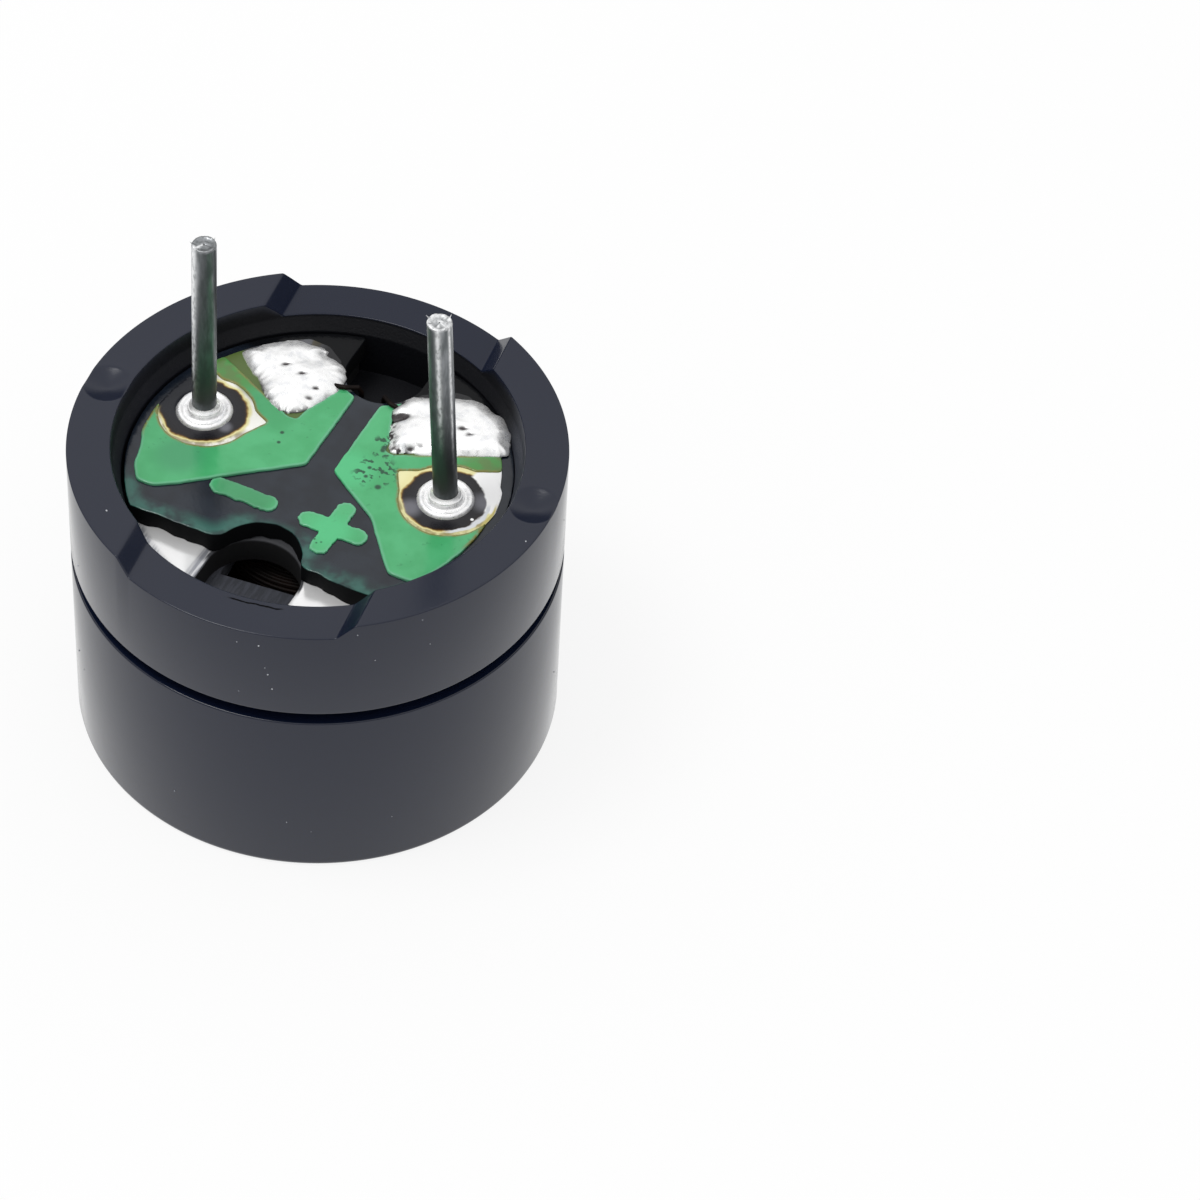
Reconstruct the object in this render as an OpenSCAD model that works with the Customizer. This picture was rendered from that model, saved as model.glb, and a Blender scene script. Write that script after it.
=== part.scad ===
// Passive electromagnetic buzzer, shown as it lies on its sound-hole face
// with its two pins up. Millimetres. The origin is the centre of the
// sound-hole face, +Z runs up along the pins, and the positive pin is on +X.

/* [Case] */
// Outside diameter of the cap and of the base frame
body_d = 12; // [11.6:0.1:13]
// Height of the case from the sound-hole face to the raised rim
body_h = 8.5; // [8.2:0.1:9.6]
// Height of the cap
cap_h = 5.17; // [4.8:0.01:5.4]
// Height of the open seam between the cap and the base frame
seam_h = 0.34; // [0.1:0.02:0.5]
// Thickness of the cap's wall round the spigot
cap_wall = 0.7; // [0.5:0.05:0.8]
// Thickness of the cap's face
face_t = 0.9; // [0.6:0.05:1.2]
// Radius that rounds the edge of the cap's face
edge_round = 0.15; // [0.05:0.01:0.3]
// Width of the shoulder that the spigot lands on inside the cap
shoulder_w = 0.4; // [0.25:0.05:0.6]
// Small bevel on the case's moulded edges
edge_bevel = 0.05; // [0.02:0.01:0.1]

/* [Sound-hole face] */
// Diameter of the sound hole
sound_d = 2.6; // [1.6:0.1:3]
// Diameter of the smooth ring round the sound hole
ring_d = 3.5; // [3.3:0.1:4]
// Depth of that ring
ring_depth = 0.06; // [0.02:0.01:0.1]
// Width of the smooth border round the textured field
border_w = 0.33; // [0.2:0.01:0.5]
// Depth of the textured field
field_depth = 0.03; // [0.01:0.01:0.05]
// Diameter of the sunk disc that carries the polarity mark
badge_d = 3.15; // [2.6:0.05:3.2]
// Distance of that disc's centre from the axis
badge_x = 3.85; // [3.6:0.05:3.9]
// Depth of the disc
badge_depth = 0.12; // [0.06:0.01:0.2]
// Length of the arms of the moulded plus sign
badge_arm = 2.2; // [1.4:0.1:2.4]
// Width of the arms of the moulded plus sign
badge_bar = 0.55; // [0.3:0.05:0.7]

/* [Base frame] */
// Width of the raised rim at its top
rim_w = 1.05; // [0.8:0.05:1.2]
// Draft of the rim's inner wall
rim_draft = 0.03; // [0:0.01:0.06]
// Thickness of the wall round the circuit board and the yoke plate
recess_wall = 1.28; // [1.22:0.02:1.5]
// Turn of the frame's rim against the board's pins, in degrees
rim_turn = 5.5; // [-10:0.5:10]
// Width of the slot across the rim, at the slot's floor
slot_w = 5.2; // [4.4:0.1:6]
// Run of each slot's sloping end
slot_ramp = 0.4; // [0.2:0.05:0.6]
// Depth of the slot at the front
front_slot_depth = 0.37; // [0.2:0.01:0.5]
// Depth of the slot at the back
back_slot_depth = 0.45; // [0.2:0.01:0.55]
// Diameter of the dimples in the raised rim
dimple_d = 0.95; // [0.6:0.05:1]
// Depth of the dimples
dimple_depth = 0.14; // [0.1:0.02:0.3]
// Thickness of the floor that carries the yoke plate
floor_t = 0.5; // [0.4:0.05:0.7]
// Width of the vent window in the floor
vent_w = 2.6; // [1.6:0.1:2.8]
// Distance of the vent window's outer edge from the axis
vent_out = 3.05; // [2.6:0.05:3.2]
// Length of the vent window towards the axis
vent_l = 1.4; // [0.8:0.1:1.5]
// Width of the window that the coil leads pass through
lead_window_w = 2.2; // [1.8:0.1:2.4]
// Length of the window that the coil leads pass through
lead_window_l = 1.2; // [1:0.1:1.4]
// Height of the nest that holds the diaphragm
nest_h = 0.2; // [0.15:0.05:0.3]
// Width of the ledge that the diaphragm lies on
ledge_w = 0.52; // [0.4:0.02:0.6]
// Thickness of the nest's wall
nest_wall = 0.34; // [0.25:0.01:0.42]

/* [Circuit board] */
// Depth of the board's face below the raised rim
board_drop = 0.82; // [0.7:0.02:1]
// Thickness of the board
board_t = 0.5; // [0.4:0.05:0.8]
// Gap round the board and the yoke plate
board_gap = 0.07; // [0.03:0.01:0.15]
// Distance of the board's straight front edge from the axis
chord_y = 3.15; // [3:0.05:3.3]
// Radius of the bay in the front edge
front_bay_r = 1.03; // [0.7:0.01:1.1]
// Sideways shift of the front bay
front_bay_x = 0.05; // [-0.1:0.01:0.1]
// Radius that rounds the corners of the front bay
bay_corner_r = 0.4; // [0.2:0.05:0.5]
// Radius of the bay at the back, where the coil leads come up
back_bay_r = 1; // [0.8:0.05:1.1]
// Distance of the back bay's centre from the axis
back_bay_y = 3.6; // [3.4:0.05:3.8]
// Thickness of the copper foil
copper_t = 0.04; // [0.03:0.01:0.07]
// Thickness of the solder mask over the copper
mask_t = 0.03; // [0.02:0.01:0.05]
// Margin between the copper and the board's edge
copper_margin = 0.27; // [0.2:0.01:0.4]
// Sideways shift of the printed copper against the board
copper_shift = 0.05; // [-0.1:0.01:0.1]
// Width of the bare strip between the two lands
land_gap = 0.7; // [0.5:0.05:1]
// Radius of the mask's opening round each pin
pad_r = 1.18; // [0.95:0.01:1.2]
// Width of the mask strip between the pin's opening and the coil's pad
strip_w = 0.5; // [0.3:0.05:0.6]
// Slope of that strip, in degrees
strip_angle = 26; // [20:1:30]
// Length of the minus sign's bar and of each bar of the plus sign
mark_l = 1.8; // [1.4:0.1:1.9]
// Width of the bars of both signs
mark_w = 0.48; // [0.3:0.02:0.6]

/* [Pins and solder] */
// Distance between the two pins
pin_pitch = 6.5; // [6:0.1:6.6]
// Distance of both pins behind the case's centre line
pin_y = 0.4; // [0.2:0.05:0.5]
// Sideways shift of both pins against the mask's openings
pin_shift = -0.05; // [-0.1:0.01:0.1]
// Diameter of the pins
pin_d = 0.6; // [0.4:0.05:0.7]
// Length of the negative pin above the board
negative_pin_l = 5.65; // [4:0.05:7.5]
// Length of the positive pin above the board
positive_pin_l = 5.85; // [4:0.05:7.5]
// Lean of the negative pin towards the middle, in degrees
negative_pin_lean = 1; // [0:0.2:3]
// Lean of the positive pin towards the middle, in degrees
positive_pin_lean = 2.8; // [0:0.2:3]
// Bevel at the cut end of the pins
pin_bevel = 0.06; // [0.02:0.01:0.12]
// Width of the step where each pin thickens to its root in the board
pin_step = 0.17; // [0.12:0.01:0.22]
// Taper of the root above the board
root_taper = 0.08; // [0.04:0.01:0.1]
// Height of the root above the copper
pin_root_h = 0.22; // [0.16:0.01:0.3]
// Distance that the pins stay clear of the yoke plate
pin_relief = 0.12; // [0.08:0.02:0.2]
// Width of the solder collar round each pin
collar_w = 0.21; // [0.15:0.01:0.3]
// Height of the solder collar
collar_h = 0.16; // [0.1:0.01:0.2]
// Height of the solder joint on each coil lead
joint_h = 0.42; // [0.3:0.02:0.55]

/* [Magnet system] */
// Thickness of the yoke plate
yoke_t = 0.72; // [0.5:0.02:0.9]
// Radius of the yoke plate's two notches
yoke_notch_r = 1.18; // [0.9:0.02:1.25]
// Distance of the notches' centres from the axis
yoke_notch_y = 3.43; // [3.2:0.01:3.6]
// Diameter of the pole core
core_d = 2.4; // [1.8:0.1:2.6]
// Length of the pole core below the frame's floor
core_l = 1.6; // [1.5:0.05:1.8]
// Diameter of the rivet that holds the core in the yoke plate
rivet_d = 1.6; // [1.2:0.1:1.7]
// Outside diameter of the coil
coil_d = 4.9; // [4.6:0.1:5.4]
// Height of the coil
coil_h = 1.4; // [1:0.05:1.45]
// Diameter of the coil leads
lead_d = 0.12; // [0.08:0.01:0.16]
// Thickness of the ring magnet's wall
magnet_wall = 1.08; // [0.8:0.02:1.2]
// Height of the ring magnet
magnet_h = 1.4; // [1:0.05:1.5]
// Gap between the pole core and the diaphragm
air_gap = 0.26; // [0.15:0.01:0.35]
// Thickness of the diaphragm
diaphragm_t = 0.06; // [0.04:0.01:0.1]
// Diameter of the mass disc on the diaphragm
mass_d = 4.4; // [3.6:0.1:5]
// Thickness of the mass disc
mass_t = 0.45; // [0.3:0.05:0.6]
// Radial clearance of the pieces that fit inside each other
fit_gap = 0.03; // [0.01:0.01:0.05]

/* [Hidden] */
$fn = 96;
tiny = 0.01;

// Radii, from the outside inwards
body_r = body_d / 2;
cap_bore_r = body_r - cap_wall;
spigot_r = cap_bore_r - fit_gap;
cavity_r = cap_bore_r - shoulder_w;
rim_r = body_r - rim_w;
recess_r = body_r - recess_wall;
board_r = recess_r - board_gap;
nest_r = spigot_r - nest_wall;
magnet_seat_r = nest_r - ledge_w;
magnet_r = magnet_seat_r - fit_gap;
core_r = core_d / 2;

// Levels, from the raised rim downwards
base_z = cap_h + seam_h;
board_top = body_h - board_drop;
board_z = board_top - board_t;
yoke_z = board_z - yoke_t;
floor_z = yoke_z - floor_t;
core_z = floor_z - core_l;
ledge_z = core_z - air_gap;
spigot_z = ledge_z - nest_h;
copper_top = board_top + copper_t;
mask_top = copper_top + mask_t;

// Places that both sides of the board share
pin_x = pin_pitch / 2;
pin_r = pin_d / 2;
root_r = pin_r + pin_step;
shoulder_z = copper_top + pin_root_h;
wedge_corner = [pin_x - 1.27 * pad_r, pin_y + 0.3 * pad_r];

// ---------- shapes used more than once ----------

// A disc with its lower edge rounded, as a section for rotate_extrude
module rounded_section(r, h, round_r) {
    square([r - round_r, h]);
    translate([0, round_r]) square([r, h - round_r]);
    translate([r - round_r, round_r]) circle(round_r);
}

// A ring between two radii
module ring(r_in, r_out, h) {
    difference() {
        cylinder(r = r_out, h = h);
        translate([0, 0, -tiny]) cylinder(r = r_in, h = h + 2 * tiny);
    }
}

// A U-shaped notch that runs from a round end out past the rim, along +Y
module u_notch(r, y, reach) {
    translate([0, y]) circle(r);
    translate([-r, y]) square([2 * r, reach]);
}

// A bar with round ends, centred, along X
module bar(l, w) {
    square([l - w, w], center = true);
    for (side = [-1, 1]) translate([side * (l - w) / 2, 0]) circle(w / 2);
}

// Places its children on the right for side 1 and mirrors them for side -1
module on_side(side) {
    mirror([side < 0 ? 1 : 0, 0, 0]) children();
}

// ---------- case ----------

module polarity_badge() {
    translate([badge_x, 0, -tiny]) difference() {
        cylinder(d = badge_d, h = badge_depth + tiny);
        for (turn = [0, 90]) rotate(turn)
            translate([-badge_arm / 2, -badge_bar / 2, field_depth + tiny])
                cube([badge_arm, badge_bar, badge_depth]);
    }
}

module cap() {
    color("#24262c") difference() {
        rotate_extrude() difference() {
            rounded_section(body_r, cap_h, edge_round);
            // bevels on the outer and inner edges of the cap's mouth
            translate([body_r, cap_h]) rotate(45)
                square(edge_bevel * sqrt(2), center = true);
            translate([cap_bore_r, cap_h]) rotate(45)
                square(2 * edge_bevel * sqrt(2), center = true);
        }
        translate([0, 0, -tiny]) cylinder(d = sound_d, h = face_t + 2 * tiny);
        translate([0, 0, -tiny]) cylinder(d = ring_d, h = ring_depth + tiny);
        translate([0, 0, -tiny]) cylinder(r = body_r - border_w, h = field_depth + tiny);
        polarity_badge();
        translate([0, 0, face_t]) cylinder(r = cavity_r, h = cap_h);
        translate([0, 0, spigot_z]) cylinder(r = cap_bore_r, h = cap_h);
    }
}

// The slot's section: a floor with two ramps that rise to the rim
module slot_cut(depth) {
    reach = slot_ramp * (1 + 1 / depth);
    rotate([90, 0, 0]) linear_extrude(body_r + 1)
        polygon([[-slot_w / 2, body_h - depth], [slot_w / 2, body_h - depth],
            [slot_w / 2 + reach, body_h + 1], [-slot_w / 2 - reach, body_h + 1]]);
}

module dimple() {
    sphere_r = (pow(dimple_d / 2, 2) + pow(dimple_depth, 2)) / (2 * dimple_depth);
    translate([(rim_r + body_r) / 2, 0, body_h - dimple_depth + sphere_r])
        sphere(sphere_r);
}

// A window through the floor that starts at y
module floor_window(y, w, l) {
    translate([-w / 2, y, floor_z - tiny]) cube([w, l, floor_t + 2 * tiny]);
}

module base_frame() {
    color("#24262c") difference() {
        rotate_extrude() polygon([
            [0, yoke_z], [recess_r, yoke_z], [recess_r, board_top],
            [rim_r - rim_draft, board_top + 0.4 * board_drop], [rim_r, body_h],
            [body_r - edge_bevel, body_h], [body_r, body_h - edge_bevel],
            [body_r, base_z + edge_bevel], [body_r - edge_bevel, base_z],
            [spigot_r, base_z], [spigot_r, spigot_z + edge_bevel],
            [spigot_r - edge_bevel, spigot_z], [nest_r, spigot_z], [nest_r, ledge_z],
            [magnet_seat_r, ledge_z], [magnet_seat_r, floor_z], [0, floor_z]]);
        rotate(rim_turn) {
            slot_cut(front_slot_depth);
            rotate(180) slot_cut(back_slot_depth);
            for (turn = [0, 180]) rotate(turn) dimple();
            floor_window(-vent_out, vent_w, vent_l);
            floor_window(coil_d / 2 - 3 * lead_d, lead_window_w, lead_window_l);
        }
        translate([0, 0, floor_z - tiny])
            cylinder(r = core_r + fit_gap, h = floor_t + 2 * tiny);
    }
}

// ---------- circuit board ----------

// The corner that the front bay's rounding takes off
module bay_corner() {
    reach = sqrt(pow(front_bay_r + bay_corner_r, 2) - pow(bay_corner_r, 2));
    difference() {
        polygon([[0, 0], [reach, bay_corner_r], [reach, -tiny], [0, -tiny]]);
        translate([reach, bay_corner_r]) circle(bay_corner_r);
    }
}

module board_outline() {
    difference() {
        circle(board_r);
        translate([-board_r, -chord_y - board_r]) square([2 * board_r, board_r]);
        translate([front_bay_x, -chord_y]) {
            circle(front_bay_r);
            for (side = [-1, 1]) on_side(side) bay_corner();
        }
        u_notch(back_bay_r, back_bay_y, board_r);
    }
}

module pin_holes() {
    for (side = [-1, 1]) translate([side * pin_x + pin_shift, pin_y])
        circle(root_r + fit_gap);
}

module circuit_board() {
    color("#39424c") translate([0, 0, board_z]) linear_extrude(board_t) difference() {
        board_outline();
        pin_holes();
    }
}

// Keeps printed copper inside the board's margin and clear of the back bay
module printed() {
    intersection() {
        translate([copper_shift, 0]) children();
        difference() {
            circle(board_r - copper_margin + copper_shift / 2);
            u_notch(back_bay_r + copper_margin / 2, back_bay_y, board_r);
        }
    }
}

// The ring of copper that a pin's collar is soldered to
module pin_ring(side) {
    translate([side * pin_x + pin_shift, pin_y]) circle(root_r + collar_w + fit_gap);
}

// The outlines of the lands and of the solder joints are lists of points in
// half pitches, in which the pins stand 1 to each side of the centre line
module negative_land_shape() {
    gap = land_gap / pin_pitch;
    printed() scale(pin_x) polygon([[-gap, 0.8], [-0.29, 1.015], [-0.52, 1.17],
        [-0.8, 1.185], [-1.45, 0.95], [-1.45, -0.09], [-1.29, -0.37], [-1.23, -0.6],
        [-1.14, -0.725], [-1.015, -0.725], [-0.89, -0.645], [-gap, -0.015]]);
    pin_ring(-1);
}

module positive_land_shape() {
    gap = land_gap / pin_pitch;
    printed() scale(pin_x) polygon([[gap, 0.8], [gap, 0.015], [0.57, -0.29],
        [0.83, -0.615], [0.925, -0.725], [1.125, -0.725], [1.23, -0.57],
        [1.355, -0.28], [1.45, 0], [1.45, 0.95], [0.8, 1.185], [0.55, 1.17],
        [0.31, 1.015]]);
    pin_ring(1);
}

// The mask's opening round a pin: a disc with a wedge along the mask strip
module pin_opening() {
    translate([pin_x, pin_y]) circle(pad_r);
    along = [cos(strip_angle), sin(strip_angle)];
    pin_at = [pin_x, pin_y];
    polygon([wedge_corner, wedge_corner + 2.33 * pad_r * along,
        pin_at + pad_r * [0.95, 0.25], pin_at, pin_at - pad_r * [0.93, 0.3]]);
}

// The mask's opening under a coil lead's solder joint
module coil_opening() {
    translate([wedge_corner.x, wedge_corner.y]) rotate(strip_angle)
        translate([0, strip_w]) scale(pin_x)
            polygon([[-0.04, 0], [1.1, 0], [1.1, 1.1], [0.3, 1.1], [0.045, 0.5],
                [-0.1, 0.04]]);
}

module land_mask() {
    translate([0, 0, copper_top]) linear_extrude(mask_t) children();
}

module land_copper() {
    translate([0, 0, board_top]) linear_extrude(copper_t) difference() {
        children();
        pin_holes();
    }
}

module negative_land() {
    color("#b9bcc0") land_copper() negative_land_shape();
}

module positive_land() {
    color("#b9bcc0") land_copper() positive_land_shape();
}

module negative_mask() {
    color("#4fae70") land_mask() difference() {
        negative_land_shape();
        on_side(-1) pin_opening();
        on_side(-1) coil_opening();
        on_side(-1) negative_joint_shape();
    }
}

module positive_mask() {
    color("#4fae70") land_mask() difference() {
        positive_land_shape();
        pin_opening();
        coil_opening();
        positive_joint_shape();
    }
}

module sign_mark(x, y) {
    color("#4fae70") translate([x, y, board_top]) linear_extrude(copper_t + mask_t)
        children();
}

module minus_mark() {
    sign_mark(-0.357 * pin_x, -0.5 * pin_x) bar(mark_l, mark_w);
}

module plus_mark() {
    sign_mark(0.38 * pin_x, -0.505 * pin_x) {
        bar(mark_l, mark_w);
        rotate(90) bar(mark_l, mark_w);
    }
}

// ---------- pins and solder ----------

// Radius of a pin's root at a height above the copper
function root_at(h) = root_r - root_taper * h / (pin_root_h - edge_bevel);

// Places its children at a pin, for side 1 the positive and for -1 the negative
module at_pin(side) {
    translate([pin_shift, 0, 0]) on_side(side) translate([pin_x, pin_y, 0]) children();
}

// The root stands straight in the board, and the shaft leans from its shoulder
module pin(l, lean) {
    foot = board_z + pin_relief;
    root_top_r = root_r - root_taper;
    sunk = pin_root_h / 2;
    shaft_l = l - (shoulder_z - board_top);
    rotate_extrude() polygon([[0, foot], [root_r, foot], [root_r, copper_top],
        [root_top_r, shoulder_z - edge_bevel], [root_top_r - edge_bevel, shoulder_z],
        [0, shoulder_z]]);
    translate([0, 0, shoulder_z]) rotate([0, -lean, 0]) rotate_extrude()
        polygon([[0, -sunk], [pin_r, -sunk], [pin_r, shaft_l - pin_bevel],
            [pin_r - pin_bevel, shaft_l], [0, shaft_l]]);
}

module negative_pin() {
    color("#a9adb0") at_pin(-1) pin(negative_pin_l, negative_pin_lean);
}

module positive_pin() {
    color("#a9adb0") at_pin(1) pin(positive_pin_l, positive_pin_lean);
}

// A collar of solder that dips against the pin's root and rounds off outwards
module collar() {
    translate([0, 0, copper_top]) rotate_extrude()
        polygon([[root_r, 0], [root_r + collar_w, 0],
            [root_r + 0.92 * collar_w, 0.45 * collar_h],
            [root_r + 0.7 * collar_w, 0.88 * collar_h],
            [root_r + 0.4 * collar_w, collar_h],
            [root_at(0.6 * collar_h), 0.6 * collar_h]]);
}

module negative_collar() {
    color("#e3e6e8") at_pin(-1) collar();
}

module positive_collar() {
    color("#e3e6e8") at_pin(1) collar();
}

// Where each lead runs straight into its solder joint
lead_r = lead_d / 2;
lead_z = copper_top + 1.5 * lead_r;
lead_out = pin_x * [0.19, 0.806];
lead_in = pin_x * [0.354, 0.77];

// The outlines of the two solder joints on the coil's leads
module negative_joint_shape() {
    joint_shape([[0.46, 0.385], [0.34, 0.49], [0.228, 0.77], [0.245, 0.92],
        [0.32, 1.015], [0.55, 1.075], [0.8, 1.06], [0.91, 0.985], [1.06, 0.8],
        [0.8, 0.6], [0.6, 0.46]]);
}

module positive_joint_shape() {
    joint_shape([[0.41, 0.385], [0.32, 0.54], [0.228, 0.77], [0.29, 0.955],
        [0.55, 1.075], [0.77, 1.09], [0.985, 1.015], [1.2, 0.755], [1.12, 0.69],
        [0.71, 0.49]]);
}

module joint_shape(points) {
    intersection() {
        scale(pin_x) polygon(points);
        circle(board_r - board_gap);
    }
}

// A low dome of solder over its outline, bored for its lead
module coil_joint() {
    middle = pin_x * [0.68, 0.74];
    spread = 0.585 * pin_x;
    dome_r = (pow(spread, 2) + pow(joint_h, 2)) / (2 * joint_h);
    difference() {
        intersection() {
            translate([0, 0, copper_top]) linear_extrude(joint_h) children();
            translate([middle.x, middle.y, copper_top + joint_h - dome_r])
                sphere(dome_r);
        }
        lead_bore();
    }
}

module lead_bore() {
    run = lead_in - lead_out;
    translate([lead_out.x, lead_out.y, lead_z]) rotate([0, 90, atan2(run.y, run.x)])
        cylinder(r = lead_r, h = norm(run));
}

module negative_coil_joint() {
    color("#f0f1f1") on_side(-1) coil_joint() negative_joint_shape();
}

module positive_coil_joint() {
    color("#f0f1f1") coil_joint() positive_joint_shape();
}

// ---------- magnet system ----------

module yoke_plate() {
    color("#d6d8da") translate([0, 0, yoke_z]) linear_extrude(yoke_t) difference() {
        circle(board_r);
        for (turn = [0, 180]) rotate(turn) u_notch(yoke_notch_r, yoke_notch_y, board_r);
        circle(d = rivet_d);
    }
}

module pole_core() {
    color("#8d9094") {
        translate([0, 0, core_z]) cylinder(r = core_r, h = yoke_z - core_z);
        translate([0, 0, yoke_z]) cylinder(d = rivet_d, h = yoke_t);
    }
}

module coil() {
    color("#a8552b") translate([0, 0, floor_z - coil_h])
        ring(core_r + fit_gap, coil_d / 2, coil_h);
}

// A tube through a list of points, as rings joined by quads
function ring_points(p, along, r, sides) =
    let (side = cross(along, [0.2, 1, 0.1]), u = side / norm(side), v = cross(along, u))
    [for (i = [0 : sides - 1]) p + r * (cos(360 * i / sides) * u + sin(360 * i / sides) * v)];

function unit(v) = v / norm(v);

module tube(path, r, sides = 8) {
    last = len(path) - 1;
    rings = [for (k = [0 : last])
        let (along = unit(path[min(k + 1, last)] - path[max(k - 1, 0)]))
        ring_points(path[k], along, r, sides)];
    quads = [for (k = [0 : last - 1], i = [0 : sides - 1])
        let (j = (i + 1) % sides)
        [k * sides + i, k * sides + j, (k + 1) * sides + j, (k + 1) * sides + i]];
    ends = [[for (i = [sides - 1 : -1 : 0]) i],
        [for (i = [0 : sides - 1]) last * sides + i]];
    polyhedron([for (ring = rings, p = ring) p], concat(quads, ends));
}

// The lead rises from the coil through the frame, the yoke's notch and the
// board's bay, and bends over into its solder joint
module lead() {
    x = 0.3 * back_bay_r;
    coil_edge = coil_d / 2 - lead_d;
    clear_y = back_bay_y - 0.72 * back_bay_r;
    rise = [[x, coil_edge, floor_z], [x, coil_edge, floor_z + 0.3 * floor_t],
        [x, clear_y, yoke_z + lead_d], [x, clear_y, board_top - lead_d],
        [x + lead_r, clear_y - lead_r, lead_z - lead_r]];
    tube(concat(rise, [[lead_out.x, lead_out.y, lead_z], [lead_in.x, lead_in.y, lead_z]]),
        lead_r);
}

module negative_lead() {
    color("#b5642f") on_side(-1) lead();
}

module positive_lead() {
    color("#b5642f") lead();
}

module ring_magnet() {
    color("#3c3d40") translate([0, 0, floor_z - magnet_h])
        ring(magnet_r - magnet_wall, magnet_r, magnet_h);
}

module diaphragm() {
    color("#b4b7ba") translate([0, 0, ledge_z - diaphragm_t])
        cylinder(r = nest_r - fit_gap, h = diaphragm_t);
}

module mass_disc() {
    color("#8d9094") translate([0, 0, ledge_z - diaphragm_t - mass_t])
        cylinder(d = mass_d, h = mass_t);
}

cap();
base_frame();
circuit_board();
negative_land();
positive_land();
negative_mask();
positive_mask();
minus_mark();
plus_mark();
negative_pin();
positive_pin();
negative_collar();
positive_collar();
negative_coil_joint();
positive_coil_joint();
yoke_plate();
pole_core();
coil();
negative_lead();
positive_lead();
ring_magnet();
diaphragm();
mass_disc();
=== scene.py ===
# %% [markdown]
# # A passive buzzer, dressed for its picture
# The buzzer comes from the CAD frame at its real size: a case of two black mouldings, a small round
# circuit board sunk into its back, two pins, and the magnet system inside. This notebook gives each
# piece its finish. Where a true surface shows more than the CAD solid has, such as the lumps of a
# solder joint, the piece is modelled again here in the same place and stands for the CAD node.

import math

import bmesh
import bpy
import numpy as np
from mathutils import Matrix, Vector, noise
from mathutils.geometry import delaunay_2d_cdt

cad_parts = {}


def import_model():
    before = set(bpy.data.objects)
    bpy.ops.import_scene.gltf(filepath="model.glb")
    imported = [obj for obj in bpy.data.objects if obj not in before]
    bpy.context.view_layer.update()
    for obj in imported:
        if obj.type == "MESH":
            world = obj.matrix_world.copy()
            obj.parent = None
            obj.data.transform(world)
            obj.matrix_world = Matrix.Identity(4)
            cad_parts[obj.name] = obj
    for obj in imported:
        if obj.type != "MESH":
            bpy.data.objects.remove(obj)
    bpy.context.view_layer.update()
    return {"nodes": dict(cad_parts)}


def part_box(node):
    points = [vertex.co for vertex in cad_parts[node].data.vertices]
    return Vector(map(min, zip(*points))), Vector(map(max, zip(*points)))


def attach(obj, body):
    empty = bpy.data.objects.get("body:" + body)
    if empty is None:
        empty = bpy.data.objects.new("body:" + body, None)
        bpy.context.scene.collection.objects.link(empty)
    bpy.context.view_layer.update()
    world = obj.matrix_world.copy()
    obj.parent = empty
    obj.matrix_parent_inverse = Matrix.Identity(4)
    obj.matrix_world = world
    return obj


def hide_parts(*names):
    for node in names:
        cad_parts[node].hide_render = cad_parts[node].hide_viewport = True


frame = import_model()
MM = 0.001

# %% [markdown]
# ## Where the camera stands
# The camera looks down on the buzzer from the front right with a long lens, so that the sides stay
# nearly parallel. It is placed by its direction and distance from a point on the axis, and then turned
# a little, so that this point lands left of the middle of a square picture.

# %% Camera
AZIMUTH, ELEVATION = math.radians(27.3), math.radians(46.737)
DISTANCE = 121.036 * MM
AIM = Vector((0, 0, 4 * MM))
PICTURE = 1200            # width and height of the square picture, in pixels
FOCAL = 4925.9            # focal length, in pixels of that picture
AIM_AT = (318.3, 572.9)   # the pixel on which the aim point lands

back = Vector((math.sin(AZIMUTH) * math.cos(ELEVATION), -math.cos(AZIMUTH) * math.cos(ELEVATION),
               math.sin(ELEVATION)))
camera_data = bpy.data.cameras.new("camera")
camera_data.sensor_width = 36
camera_data.lens = FOCAL / PICTURE * camera_data.sensor_width
camera_data.clip_start = 0.001
camera = bpy.data.objects.new("camera", camera_data)
bpy.context.scene.collection.objects.link(camera)
towards_aim = Vector(((AIM_AT[0] - PICTURE / 2) / FOCAL, (PICTURE / 2 - AIM_AT[1]) / FOCAL, -1))
turn = towards_aim.rotation_difference(Vector((0, 0, -1)))
camera.rotation_mode = "QUATERNION"
camera.rotation_quaternion = (-back).to_track_quat("-Z", "Y") @ turn
camera.location = AIM + back * DISTANCE
bpy.context.scene.camera = camera
bpy.context.scene.view_settings.view_transform = "Standard"
print("lens in mm:", round(camera_data.lens, 2))

# %% Colour and node helpers


def linear(code):
    """Turns an sRGB hex colour into the linear values that shaders take."""
    channels = [int(code[i:i + 2], 16) / 255 for i in (1, 3, 5)]
    return [c / 12.92 if c <= 0.04045 else ((c + 0.055) / 1.055) ** 2.4 for c in channels] + [1.0]


def feed(target, value):
    """Links a node's input to a socket, or sets it to a number or a hex colour."""
    if isinstance(value, bpy.types.NodeSocket):
        target.id_data.links.new(value, target)
    else:
        target.default_value = linear(value) if isinstance(value, str) else value


def add(tree, kind, inputs, **fields):
    """Adds a node, sets its fields, feeds its inputs, and returns its first output that is in use."""
    made = tree.nodes.new(kind)
    for key, value in fields.items():
        setattr(made, key, value)
    for key, value in inputs.items():
        feed(made.inputs[key], value)
    return next((o for o in made.outputs if o.enabled), None)


def maths(operation, *terms):
    """A maths node whose terms are sockets or numbers."""
    tree = next(term.id_data for term in terms if isinstance(term, bpy.types.NodeSocket))
    return add(tree, "ShaderNodeMath", dict(enumerate(terms)), operation=operation)


def both(first, second):
    """The product of two shares."""
    return maths("MULTIPLY", first, second)


def most(first, second):
    """The greater of two shares."""
    return maths("MAXIMUM", first, second)


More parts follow.
